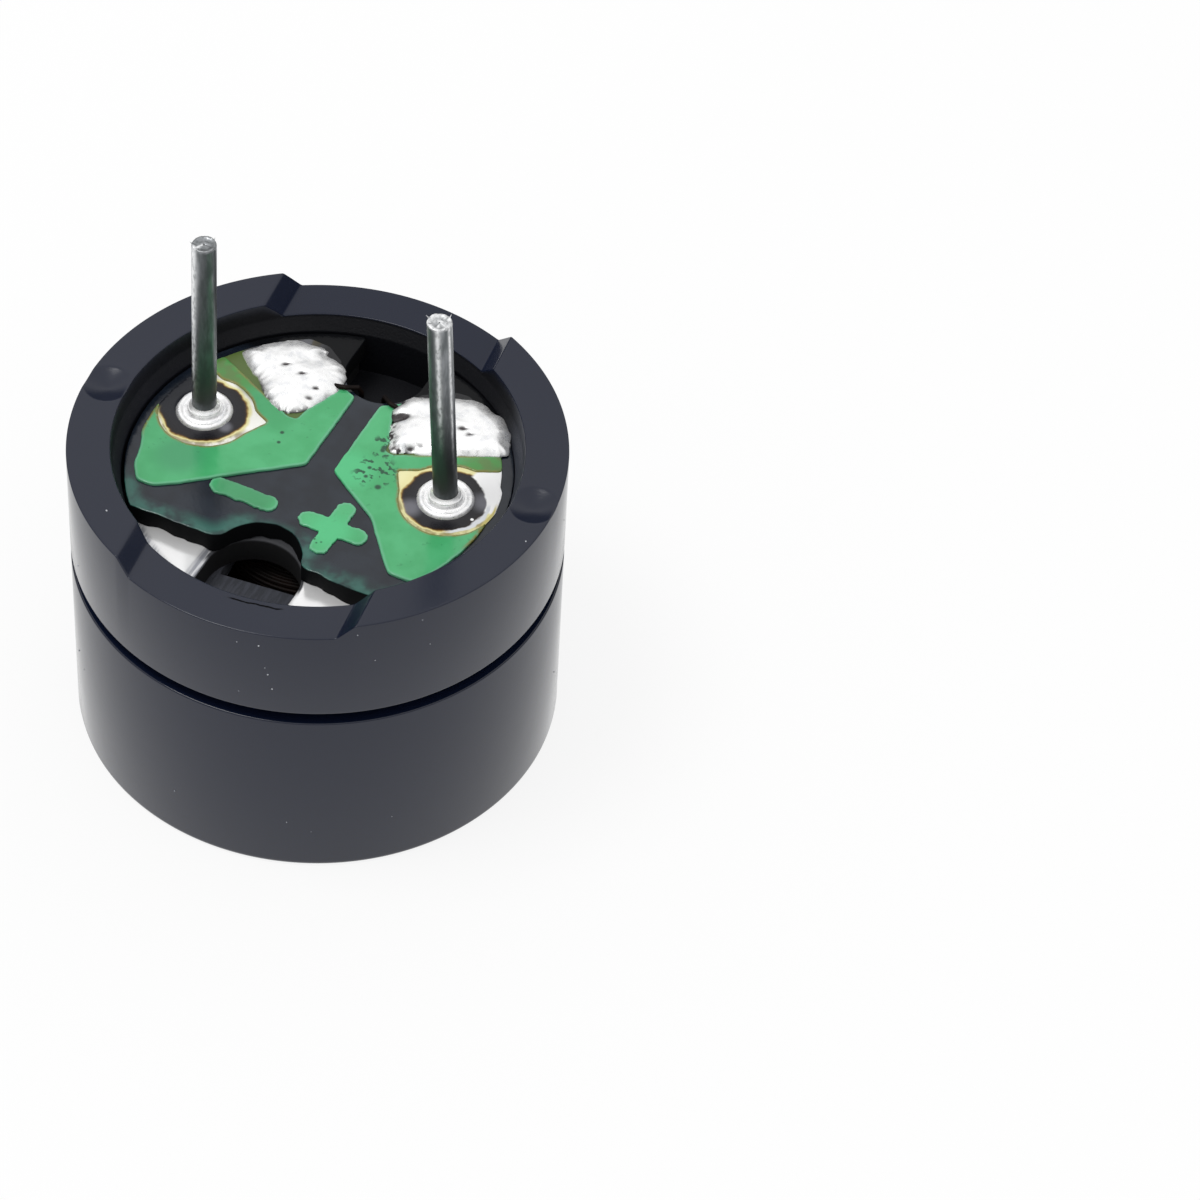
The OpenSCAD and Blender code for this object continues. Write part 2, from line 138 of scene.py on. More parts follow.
def between(value, low, high, a=0.0, b=1.0):
    """Maps a value's range low..high to a..b, softly and held at the ends."""
    limits = {"From Min": low, "From Max": high, "To Min": a, "To Max": b}
    return add(value.id_data, "ShaderNodeMapRange", {"Value": value, **limits},
               interpolation_type="SMOOTHSTEP")


def axes(place):
    """The three parts of a place."""
    return add(place.id_data, "ShaderNodeSeparateXYZ", {0: place}).node.outputs


def material(name):
    """Starts a material, and returns it with its tree and its shader."""
    made = bpy.data.materials.new(name)
    made.use_nodes = True
    return made, made.node_tree, made.node_tree.nodes["Principled BSDF"]


def wire_up(shader, inputs, bump=None, height=0.002):
    """Feeds the shader's inputs, and a bump whose full height is given in millimetres."""
    for key, value in inputs.items():
        feed(shader.inputs[key], value)
    if bump is not None:
        feed(shader.inputs["Normal"], add(shader.id_data, "ShaderNodeBump", {
            "Strength": 1.0, "Distance": height * MM, "Height": bump}))


def linked(name, data):
    """A new object in the scene."""
    made = bpy.data.objects.new(name, data)
    bpy.context.scene.collection.objects.link(made)
    return made


# %% [markdown]
# ## Floor, world and lamp
# The floor takes the object's shadow, but the camera and the object's own mirrors see it mostly as
# light, so the ground stays as white as the paper round a catalogue picture.

# %% Stage
FLOOR_HALF = 0.4      # half the floor's width, in metres
FLOOR_GLOW = 0.85     # share of pure light in what the camera sees of the floor


def stage():
    mesh = bpy.data.meshes.new("floor")
    corners = [(-1, -1), (1, -1), (1, 1), (-1, 1)]
    mesh.from_pydata([(x * FLOOR_HALF, y * FLOOR_HALF, 0) for x, y in corners], [], [(0, 1, 2, 3)])
    floor = linked("floor", mesh)
    finish, tree, shader = material("matt_white_card")
    wire_up(shader, {"Base Color": "#F4F4F4", "Roughness": 0.9, "Specular IOR Level": 0.1})
    path = tree.nodes.new("ShaderNodeLightPath").outputs
    seen = most(most(path["Is Camera Ray"], path["Is Glossy Ray"]), path["Is Transmission Ray"])
    glow = add(tree, "ShaderNodeEmission", {"Color": "#FFFFFF", "Strength": 1.0})
    mixed = add(tree, "ShaderNodeMixShader", {0: both(seen, FLOOR_GLOW), 1: shader.outputs[0], 2: glow})
    feed(tree.nodes["Material Output"].inputs["Surface"], mixed)
    mesh.materials.append(finish)


def world():
    """White all round for the camera. Mirrored in the object, the studio is a white ceiling over dark
    walls, and those walls draw the thin dark lines along the case's edges."""
    made = bpy.data.worlds.new("studio")
    bpy.context.scene.world = made
    made.use_nodes = True
    tree = made.node_tree
    path = tree.nodes.new("ShaderNodeLightPath").outputs
    way = tree.nodes.new("ShaderNodeTexCoord").outputs["Generated"]
    ceiling = between(axes(way)[2], 0.25, 0.60, 0.09, 1.0)
    light, mirrored, shown = [add(tree, "ShaderNodeBackground", {"Color": "#FFFFFF", "Strength": strength})
                              for strength in (0.8, ceiling, 1.0)]
    seen = most(path["Is Camera Ray"], path["Is Transmission Ray"])
    mixed = add(tree, "ShaderNodeMixShader", {0: path["Is Glossy Ray"], 1: light, 2: mirrored})
    mixed = add(tree, "ShaderNodeMixShader", {0: seen, 1: mixed, 2: shown})
    feed(tree.nodes["World Output"].inputs["Surface"], mixed)


def softbox(name, place, size, power):
    lamp = bpy.data.lights.new(name, "AREA")
    lamp.shape = "DISK"
    lamp.size = size
    lamp.energy = power
    made = linked(name, lamp)
    made.location = place
    made.rotation_mode = "QUATERNION"
    made.rotation_quaternion = (AIM - Vector(place)).to_track_quat("-Z", "Y")


stage()
world()
softbox("softbox_above_left", (-0.07, -0.05, 0.24), 0.10, 0.2)
print("stage ready")

# %% [markdown]
# ## Tools for meshes
# Sections are turned about the case's axis, and outlines are filled with a fine net whose height can
# follow a rule. Both work in millimetres, and `new_object` turns their points into an object in metres.

# %% Mesh helpers


def new_object(name, points, faces):
    """Makes an object from points in millimetres, with doubles merged and faces turned outwards."""
    mesh = bpy.data.meshes.new(name)
    mesh.from_pydata(np.asarray(points, float) * MM, [], faces)
    shell = bmesh.new()
    shell.from_mesh(mesh)
    bmesh.ops.remove_doubles(shell, verts=shell.verts, dist=0.0005 * MM)
    bmesh.ops.recalc_face_normals(shell, faces=shell.faces)
    shell.to_mesh(mesh)
    shell.free()
    return linked(name, mesh)


def carve(target, cutter):
    """Cuts one object out of another and removes the cutter."""
    cut = target.modifiers.new("carve", "BOOLEAN")
    cut.operation = "DIFFERENCE"
    cut.object = cutter
    cut.solver = "EXACT"
    bpy.context.view_layer.update()
    result = bpy.data.meshes.new_from_object(target.evaluated_get(bpy.context.evaluated_depsgraph_get()))
    target.modifiers.remove(cut)
    target.data = result
    bpy.data.objects.remove(cutter)


def dress(target, finish, slot, *nodes, sharp=30):
    """Shades a finished piece, gives it its material, hangs it under the root, and hides the CAD nodes that
    it stands for.
    """
    mesh = target.data
    mesh.polygons.foreach_set("use_smooth", [True] * len(mesh.polygons))
    mesh.set_sharp_from_angle(angle=math.radians(sharp))
    mesh.materials.clear()
    mesh.materials.append(finish)
    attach(target, "root")
    if nodes:
        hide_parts(*nodes)
    print(target.name, "triangles:", sum(len(p.vertices) - 2 for p in mesh.polygons))
    return target


def rounded(corners, steps=4):
    """Rounds a section's corners. A corner is (radius, height, rounding)."""
    outline = []
    count = len(corners)
    for i, corner in enumerate(corners):
        here = np.array(corner[:2], float)
        size = corner[2] if len(corner) > 2 else 0
        if size == 0:
            outline.append(here)
            continue
        before, after = np.array(corners[i - 1][:2], float), np.array(corners[(i + 1) % count][:2], float)
        inward, outward = before - here, after - here
        reach = min(size, 0.45 * np.linalg.norm(inward), 0.45 * np.linalg.norm(outward))
        start = here + inward / np.linalg.norm(inward) * reach
        end = here + outward / np.linalg.norm(outward) * reach
        for t in np.linspace(0, 1, steps + 1):
            outline.append((1 - t) ** 2 * start + 2 * t * (1 - t) * here + t ** 2 * end)
    return outline


def revolve(section, spokes=288, place=None):
    """Turns a section about the axis. place(r, z) gives the points of one ring, spoke by spoke."""
    angles = np.linspace(0, 2 * np.pi, spokes, endpoint=False)
    if place is None:
        def place(r, z):
            return np.stack([r * np.cos(angles), r * np.sin(angles), np.full(spokes, z)], 1)
    rings = [place(r, z) for r, z in section]
    count = len(rings[0])
    faces = []
    for i in range(len(rings)):
        a, b = i * count, (i + 1) % len(rings) * count
        faces += [(a + k, a + (k + 1) % count, b + (k + 1) % count, b + k) for k in range(count)]
    return np.concatenate(rings), faces


# %% [markdown]
# ## Outlines filled with a net
# The flat pieces of the board are printed or etched, so each one is an outline with some thickness.
# The outlines come from the CAD nodes. Each is spaced evenly, made slightly uneven as ink and solder
# are, and filled with a net of small triangles, so that a rule can raise or pit its surface.

# %% Outline helpers


def loops_of(name):
    """The outlines of a CAD node's lowest flat face in millimetres, the widest first."""
    shell = bmesh.new()
    shell.from_mesh(frame["nodes"][name].data)
    bmesh.ops.remove_doubles(shell, verts=shell.verts, dist=0.0005 * MM)
    lowest = min(v.co.z for v in shell.verts)
    flat = {f for f in shell.faces if all(v.co.z - lowest < 0.0001 * MM for v in f.verts)}
    follow = {}
    for face in flat:
        for corner in face.loops:
            if not any(other in flat for other in corner.edge.link_faces if other is not face):
                follow[corner.vert] = corner.link_loop_next.vert
    loops = []
    while follow:
        start, here = follow.popitem()
        points = [start.co.xy / MM]
        while here is not start:
            points.append(here.co.xy / MM)
            here = follow.pop(here)
        loops.append(np.array(points))
    shell.free()
    return sorted(loops, key=lambda points: -np.ptp(points[:, 0]))


def even(points, spacing, smooth):
    """Spaces a closed outline evenly and rounds its corners a little, smooth times."""
    closed = np.vstack([points, points[:1]])
    along = np.concatenate([[0], np.cumsum(np.linalg.norm(np.diff(closed, axis=0), axis=1))])
    places = np.linspace(0, along[-1], max(12, round(along[-1] / spacing)), endpoint=False)
    out = np.stack([np.interp(places, along, closed[:, k]) for k in (0, 1)], 1)
    for _ in range(smooth):
        out = (np.roll(out, 1, 0) + 2 * out + np.roll(out, -1, 0)) / 4
    return out


def push(points, amount):
    """Moves a closed outline sideways, outwards where amount is above zero."""
    after, before = np.roll(points, -1, 0), np.roll(points, 1, 0)
    area = np.sum(points[:, 0] * after[:, 1] - after[:, 0] * points[:, 1])
    along = after - before
    side = np.stack([along[:, 1], -along[:, 0]], 1) / np.linalg.norm(along, axis=1)[:, None]
    return points + side * np.sign(area) * np.reshape(amount, (-1, 1))


def inside(points, loops):
    """Tells which points lie within the outlines and not in their holes."""
    x, y = points[:, :1], points[:, 1:]
    crossings = 0
    for loop in loops:
        (ax, ay), (bx, by) = loop.T, np.roll(loop, -1, 0).T
        level = np.where(by == ay, 1, by - ay)
        crossings = crossings + (((ay > y) != (by > y)) & (x < (bx - ax) * (y - ay) / level + ax)).sum(1)
    return crossings % 2 == 1


def gap_to(points, outline):
    """The distance from each point to the nearest point of an outline."""
    parts = np.array_split(points, len(points) // 2000 + 1)
    return np.concatenate([np.sqrt(((p[:, None] - outline[None]) ** 2).sum(2).min(1)) for p in parts])


def fill(loops, extra):
    """Joins outlines and the points within them into triangles."""
    points, edges = [], []
    for loop in loops:
        first = len(points)
        points += [Vector(p) for p in loop]
        edges += [(first + k, first + (k + 1) % len(loop)) for k in range(len(loop))]
    points += [Vector(p) for p in extra]
    found = delaunay_2d_cdt(points, edges, [], 0, 1e-6)
    places, faces = np.array([tuple(p) for p in found[0]]), np.array([tuple(f) for f in found[2]])
    return places, faces[inside(places[faces].mean(1), loops)]


def noise_in(x, y, z, octaves=3):
    """Smooth noise at one place, about -1 to 1."""
    return noise.fractal(Vector((x, y, z)), 1.0, 2.0, octaves)


def rough(x, y, size, seed, octaves=3):
    """Smooth noise over the plane, with lumps of the given size in millimetres."""
    return np.array([noise_in(a / size, b / size, seed, octaves) for a, b in zip(np.ravel(x), np.ravel(y))])


def sheet(name, loops, low, top, edge=0.02, spacing=0.08, smooth=1, wobble=0.0, grow=None, seed=1,
          lump=0.35):
    """Fills outlines. top(x, y, gap) gives the height at a distance gap from the outline, and grow(x, y)
    says how far the outline moves out. wobble moves it to and fro, in lumps of the size lump."""
    rims, inner = [], []
    for i, loop in enumerate(loops):
        out = 1 if i == 0 else -1
        points = even(np.asarray(loop), spacing, smooth)
        wider = grow(*points.T) if grow else 0
        rims.append(push(points, out * (wider + wobble * rough(*points.T, lump, seed))))
        inner.append(push(rims[-1], -out * edge))
    outline = np.concatenate(rims)
    low_x, low_y = outline.min(0)
    high_x, high_y = outline.max(0)
    rows = np.arange(low_y, high_y, spacing * 0.866)
    net = np.array([(x + (k % 2) * spacing / 2, y) for k, y in enumerate(rows)
                    for x in np.arange(low_x, high_x, spacing)])
    net = net[inside(net, inner)]
    net = net[gap_to(net, np.concatenate(inner)) > 0.6 * spacing]
    places, faces = fill(inner, net)
    points = [np.column_stack([places, top(*places.T, gap_to(places, outline))])]
    faces = [tuple(f) for f in faces]
    under, lower = fill(rims, [])
    faces += [tuple(int(k) + len(places) for k in f) for f in lower]
    points.append(np.column_stack([under, np.full(len(under), low)]))
    first = len(places) + len(under)
    for i, rim in enumerate(rims):
        layers = [np.column_stack([rim, np.full(len(rim), low)])]
        for a in np.linspace(0, np.pi / 2, 4):
            inset = edge * (1 - math.cos(a))
            ring = push(rim, -inset if i == 0 else inset) if a < 1.5 else inner[i]
            height = top(*ring.T, gap_to(ring, outline)) - edge * (1 - math.sin(a))
            layers.append(np.column_stack([ring, height]))
        count = len(rim)
        for k in range(len(layers) - 1):
            a, b = first + k * count, first + (k + 1) * count
            faces += [(a + j, a + (j + 1) % count, b + (j + 1) % count, b + j) for j in range(count)]
        points += layers
        first += len(layers) * count
    made = new_object(name, np.concatenate(points), faces)
    flat = np.array([v.co.xy for v in made.data.vertices]) / MM
    mark(made, "gap", gap_to(flat, outline))
    return made


def mark(target, name, values):
    """Stores one number per vertex under a name, for the material to read."""
    target.data.attributes.new(name, "FLOAT", "POINT").data.foreach_set("value", np.asarray(values, float))


def flat_places(target):
    """The x and y of each vertex in millimetres."""
    return np.array([v.co.xy for v in target.data.vertices]).T / MM


print("outline of the board has", len(loops_of("circuit_board")), "loops")

# %% [markdown]
# ## The two mouldings of the case

# %% Sizes of the case, in millimetres
lowest, highest = (np.array(c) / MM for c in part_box("cap"))
CASE_R = min(*highest[:2], *-lowest[:2])
CAP_H = highest[2]
SEAM_H = 0.34
lowest, highest = (np.array(c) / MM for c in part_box("base_frame"))
RIM_TOP = highest[2]
SPIGOT_Z = lowest[2]
BASE_Z = CAP_H + SEAM_H
WALL, SHOULDER, FACE_T = 0.7, 0.4, 0.9
BORE_R = CASE_R - WALL
SPIGOT_R = BORE_R - 0.03
RIM_R = CASE_R - 1.05
RECESS_R = CASE_R - 1.28
FIELD_R = CASE_R - 0.33
BOARD_TOP = RIM_TOP - 0.82
YOKE_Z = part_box("yoke_plate")[0].z / MM
YOKE_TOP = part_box("yoke_plate")[1].z / MM
FLOOR_Z = YOKE_Z - 0.5
NEST_R, LEDGE_Z, SEAT_R = 4.93, SPIGOT_Z + 0.2, 4.41
RIM_TURN = math.radians(5.5)
SLOT_HALF, RAMP = 2.6, 0.4
FRONT_DEPTH, BACK_DEPTH = 0.37, 0.45
DIMPLE_R, DIMPLE_DEPTH = 0.60, 0.165
NEAR_DIMPLE = math.radians(81)   # where the spokes close up, 9 degrees before a dimple's middle
BORE_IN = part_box("pole_core")[1].x / MM + 0.03
HOLE_R, RING_R, RING_UP, FIELD_UP = 1.3, 1.75, 0.06, 0.03   # sound hole, its sunk ring and the dull field
WINDOWS = [(-3.05, 2.6, 1.4), (2.09, 2.2, 1.2)]   # start in y, width and length of the floor's openings
print("case radius, cap height, rim height:", round(CASE_R, 3), round(CAP_H, 3), round(RIM_TOP, 3))

# %% Base frame


def turned(x, y):
    """Turns a place by the angle at which the slots stand."""
    c, s = math.cos(RIM_TURN), math.sin(RIM_TURN)
    return x * c - y * s, x * s + y * c


def frame_spokes(r):
    """Angles of a ring's points from the slot's middle line. They bend to follow the slot's edges."""
    r = max(r, RIM_R)
    edges = [SLOT_HALF, SLOT_HALF + RAMP]
    across = list(np.linspace(0, edges[0] - 0.1, 14))
    for edge in edges:
        across += [edge - 0.05, edge - 0.02, edge, edge + 0.02, edge + 0.05]
    across += [*np.linspace(edges[0] + 0.1, edges[1] - 0.1, 3), edges[1] + 0.1]
    slot_part = np.arcsin(np.array(sorted(across)) / r)
    rest = np.linspace(slot_part[-1], NEAR_DIMPLE, 42)[1:]
    near = np.linspace(NEAR_DIMPLE, np.pi / 2, 24)[1:]
    quarter = np.concatenate([slot_part, rest, near])
    half = np.concatenate([quarter, np.pi - quarter[-2:0:-1]])
    return np.concatenate([half, half + np.pi])


def rim_height(x, y):
    """Height of the rim over the frame's own turned axes, with its two slots and two dimples."""
    depth = np.where(y > 0, BACK_DEPTH, FRONT_DEPTH)
    softened = [np.clip((SLOT_HALF + RAMP - np.abs(x) + shift) / RAMP, 0, 1)
                for shift in (-0.03, -0.015, 0, 0.015, 0.03)]
    height = RIM_TOP - depth * np.mean(softened, axis=0)
    off = np.hypot(np.abs(x) - (RIM_R + CASE_R) / 2, y) / DIMPLE_R
    return height - DIMPLE_DEPTH * np.clip(1 - off ** 1.4, 0, 1)


def place_frame(r, z):
    """A ring of the base frame: what is near the rim's top follows the slots."""
    angle = frame_spokes(r)
    x, y = r * np.sin(angle), r * np.cos(angle)
    height = np.full(len(angle), float(z))
    if z > RIM_TOP - 0.2:
        height = height + rim_height(x, y) - RIM_TOP
    return np.stack([*turned(x, y), height], 1)


def base_frame(finish):
    edge = 0.05
    top = [(RIM_R + t * (CASE_R - RIM_R), RIM_TOP) for t in np.linspace(0.07, 0.93, 22)]
    section = rounded([
        (BORE_IN, YOKE_Z), (RECESS_R, YOKE_Z), (RECESS_R, BOARD_TOP, 0.03),
        (RIM_R - 0.03, BOARD_TOP + 0.328, 0.03), (RIM_R, RIM_TOP, 0.045), *top, (CASE_R, RIM_TOP, edge),
        (CASE_R, BASE_Z, edge), (SPIGOT_R, BASE_Z), (SPIGOT_R, SPIGOT_Z, edge), (NEST_R, SPIGOT_Z),
        (NEST_R, LEDGE_Z), (SEAT_R, LEDGE_Z, 0.03), (SEAT_R, FLOOR_Z), (BORE_IN, FLOOR_Z)])
    made = new_object("base_frame_moulding", *revolve(section, place=place_frame))
    for y, width, length in WINDOWS:
        half = width / 2
        corners = [(*turned(x, y + along), z) for z in (FLOOR_Z - 0.2, YOKE_Z + 0.2)
                   for x, along in ((-half, 0), (half, 0), (half, length), (-half, length))]
        sides = [(0, 1, 2, 3), (4, 5, 6, 7), (0, 1, 5, 4), (1, 2, 6, 5), (2, 3, 7, 6), (3, 0, 4, 7)]
        carve(made, new_object("window_cutter", corners, sides))
    return dress(made, finish, "case", "base_frame")


# %% Cap


def cap(finish):
    section = rounded([
        (HOLE_R, FACE_T, 0.05), (HOLE_R, RING_UP, 0.04), (RING_R, RING_UP, 0.02), (RING_R, FIELD_UP, 0.02),
        (FIELD_R, FIELD_UP, 0.02), (FIELD_R, 0, 0.02), (CASE_R, 0, 0.16), (CASE_R, CAP_H, 0.05),
        (BORE_R, CAP_H, 0.1), (BORE_R, SPIGOT_Z, 0.03), (BORE_R - SHOULDER, SPIGOT_Z, 0.05),
        (BORE_R - SHOULDER, FACE_T, 0.1)])
    made = new_object("cap_moulding", *revolve(section))
    return dress(made, finish, "case", "cap")


# %% [markdown]
# ## The circuit board and what is printed on it
# The board is a punched piece of black paper laminate. Copper foil is etched into two lands and
# tinned, and a green mask is screen printed over it, with openings round the pins and the coil wires.
# The mask runs down over the edges of the foil, so its sheet starts at the board.

# %% Levels and places of the board, in millimetres
COPPER_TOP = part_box("negative_land")[1].z / MM
MASK_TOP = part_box("negative_mask")[1].z / MM
BOARD_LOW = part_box("circuit_board")[0].z / MM


def middle_of(name):
    """The middle of a node's box, seen from above."""
    low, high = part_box(name)
    return (low + high).xy / 2 / MM


PIN_Y = middle_of("positive_collar").y
PIN_FOOT = {"negative": middle_of("negative_collar").x, "positive": middle_of("positive_collar").x}
PIN_SHIFT = sum(PIN_FOOT.values()) / 2
PIN_OUT = PIN_FOOT["positive"] - PIN_SHIFT
print("pins stand at", {side: round(x, 3) for side, x in PIN_FOOT.items()}, "and y", round(PIN_Y, 3))

# %% Board, foil, mask and marks


def circuit_board(finish):
    """The punch tore the front edge, so it is wavy there, and its lower half sticks out unevenly."""
    made = sheet("circuit_board_laminate", loops_of("circuit_board"), BOARD_LOW,
                 lambda x, y, gap: np.full(len(x), BOARD_TOP), 0.03, 0.12, smooth=0, wobble=0.008,
                 grow=lambda x, y: 0.058 * np.clip(x - 1.5, 0, 1) * (np.hypot(x, y) > 4.6))
    for vertex in made.data.vertices:
        x, y, z = vertex.co / MM
        if y < -1.6 and math.hypot(x, y) < 4.5:
            share = min((-1.6 - y) / 0.6, 1) * min((4.5 - math.hypot(x, y)) / 0.3, 1)
            lower = min(max((BOARD_TOP - 0.1 - z) / 0.3, 0), 1)
            reach = 0.08 * noise_in(x / 0.7, y / 0.7, 2, 2)
            reach += lower * (0.02 + 0.10 * noise_in(x / 0.5, y / 0.5, 9, 2))
            vertex.co.y -= share * reach * MM
    return dress(made, finish, "laminate", "circuit_board")


def land(side, finish):
    """A tinned copper land. Solder climbs a little where the pin's collar starts."""
    def top(x, y, gap):
        from_pin = np.hypot(x - PIN_FOOT[side], y - PIN_Y)
        return COPPER_TOP + 0.04 * np.exp(-np.maximum(from_pin - 0.66, 0) / 0.07)
    made = sheet(side + "_foil", loops_of(side + "_land"), BOARD_TOP, top, 0.01, 0.06,
                 grow=lambda x, y: 0.08 * (x > 3.8) * np.clip((y - 0.1) / 0.4, 0, 1)
                 * np.clip((1.4 - y) / 0.2, 0, 1))
    return dress(made, finish, "foil", side + "_land")


def mask(side, finish):
    """Printed lacquer: its skin is slightly wavy and its edge is round."""
    def top(x, y, gap):
        return MASK_TOP - 0.002 + 0.002 * rough(x, y, 0.6, 3) * np.minimum(gap / 0.1, 1)
    made = sheet(side + "_mask_print", loops_of(side + "_mask"), BOARD_TOP, top, 0.03, 0.055, 2, 0.014,
                 lambda x, y: np.full(len(x), 0.012))
    return dress(made, finish, "mask", side + "_mask")


def sign(node, finish):
    """A plus or minus, printed with a ragged edge."""
    def top(x, y, gap):
        return MASK_TOP - 0.02 + 0.003 * rough(x, y, 0.25, 5)
    made = sheet(node + "_print", loops_of(node), BOARD_TOP, top, 0.02, 0.03, 2, 0.035, lump=0.16)
    return dress(made, finish, "mask", node)


# %% [markdown]
# ## Solder
# The coil's wires are soldered by hand with a cold, lumpy joint: a low mound with a steep edge, small
# lumps, and pits where flux boiled out. Each pin has a ring of solder that climbs the wire at its foot
# and leaves a groove where it shrank.

# %% Coil joints and pin collars
PIT_TURN = math.radians(28)
JOINT_PITS = {   # x, y, half length and depth in millimetres
    "negative": [(-2.20, 2.55, 0.13, 0.06), (-1.70, 2.44, 0.12, 0.06), (-1.19, 2.18, 0.11, 0.06),
                 (-1.21, 1.85, 0.13, 0.05), (-0.95, 1.84, 0.12, 0.035)],
    "positive": [(1.03, 2.24, 0.24, 0.14), (1.72, 1.48, 0.13, 0.06), (1.93, 1.65, 0.12, 0.04),
                 (2.60, 2.54, 0.15, 0.06), (2.84, 2.45, 0.13, 0.05), (1.35, 1.32, 0.14, 0.05)],
}
JOINT_GROWTH = {   # solder ran towards the mask strip and towards the board's rim
    "negative": lambda x, y: 0.03 + 0.12 * np.clip((2.15 + x * 0.9 + y * 0.1) / 0.4, 0, 1) * (x < -1.6),
    "positive": lambda x, y: 0.03 + 0.15 * np.clip((y - 2.5) / 0.4, 0, 1) * np.clip((x - 1.8) / 0.5, 0, 1),
}
TORN_SIDE = {   # where a joint's edge broke away from the flux round it
    "negative": lambda x, y: 0.5 * np.clip((2.2 - y) / 0.4, 0, 1),
    "positive": lambda x, y: np.clip((1.9 - x) / 0.4, 0, 1),
}
COLLAR_SECTION = [   # distance from the wire's axis and height, from the wire outwards
    (0.47, 7.72), (0.395, 7.94), (0.31, 7.95), (0.305, 8.03), (0.33, 7.99), (0.365, 7.955), (0.40, 7.925),
    (0.43, 7.87), (0.455, 7.825), (0.485, 7.805), (0.52, 7.82), (0.56, 7.85), (0.60, 7.855), (0.64, 7.84),
    (0.672, 7.80), (0.69, 7.76), (0.695, 7.72)]


def coil_joint(side, finish, seed):
    pits = JOINT_PITS[side]

    def hollow(x, y):
        c, s = math.cos(PIT_TURN), math.sin(PIT_TURN)
        total = 0
        for px, py, half, deep in pits:
            along, across = (x - px) * c + (y - py) * s, (y - py) * c - (x - px) * s
            total = total + deep * np.exp(-(along / half) ** 2 - (across / (0.5 * half)) ** 2)
        return total

    def top(x, y, gap):
        mound = 0.26 * (1 - np.exp(-gap / 0.22)) + 0.02
        lumps = 0.03 * rough(x, y, 0.7, seed, 2) + 0.004 * rough(x, y, 0.16, seed + 4, 2)
        return COPPER_TOP + mound + lumps * np.minimum(gap / 0.12, 1) - hollow(x, y)
    made = sheet(side + "_coil_solder", loops_of(side + "_coil_joint"), COPPER_TOP, top, 0.02, 0.035, 2,
                 0.045, JOINT_GROWTH[side], seed, 0.3)
    x, y = flat_places(made)
    outline = np.array([d.value for d in made.data.attributes["gap"].data])
    torn = 1.6 * np.exp(-outline / 0.13) * (rough(x, y, 0.16, seed + 2, 2) > -0.05) * TORN_SIDE[side](x, y)
    mark(made, "pit", np.clip(np.maximum(hollow(x, y) / 0.06, torn), 0, 1))
    return dress(made, finish, "solder", side + "_coil_joint", sharp=60)


def collar(side, finish, seed):
    """The ring of solder round a pin's foot, with a groove between its crest and the wire."""
    section = COLLAR_SECTION
    angles = np.linspace(0, 2 * np.pi, 96, endpoint=False)
    ripple = np.array([noise_in(math.cos(a) * 1.4, math.sin(a) * 1.4, seed) for a in angles])

    def place(r, z):
        share = min(max((r - 0.4) / 0.25, 0), 1) * min((z - COPPER_TOP) / 0.05, 1)
        reach = r + 0.018 * ripple * share
        height = z + 0.02 * np.roll(ripple, 17) * share
        return np.stack([PIN_FOOT[side] + reach * np.cos(angles), PIN_Y + reach * np.sin(angles), height], 1)
    made = new_object(side + "_pin_solder", *revolve(section, place=place))
    return dress(made, finish, "solder", side + "_collar", sharp=60)


# %% [markdown]
# ## Pins
# Each pin is a piece of drawn, tinned wire. It stands on a thicker, cone-shaped foot and leans a
# little. Cutting left the end rough, with a torn edge and thin burrs.

# %% Pins
SHAFT_R, FOOT_R, NECK_R, NECK_Z = 0.3, 0.47, 0.39, 7.94
TIP_SECTION = [(0.300, 0.06), (0.296, 0.03), (0.283, 0.008), (0.262, 0), (0.225, 0.01), (0.18, 0.035),
               (0.12, 0.03), (0.06, 0.02), (0.02, 0.025)]   # radius and depth below the tip
PIN_LEAN = {"negative": math.radians(1.0), "positive": math.radians(-2.8)}
BURRS = {"negative": [(200, 0.05, 0.10), (60, 0.03, 0.05)],      # direction in degrees, reach, rise
         "positive": [(175, 0.07, 0.13), (60, 0.06, 0.15), (300, 0.03, 0.04)]}
# Painted highlights: bright streaks down each pin, and how bright its cut end is painted.
HIGHLIGHT_STREAKS = {"negative": [(-122, 22, 8.0)],      # direction and half width in degrees, and starting height
          "positive": [(-75, 12, 9.5), (-16, 7, 8.8)]}
TIP_HIGHLIGHT = {"negative": 0.15, "positive": 0.9}


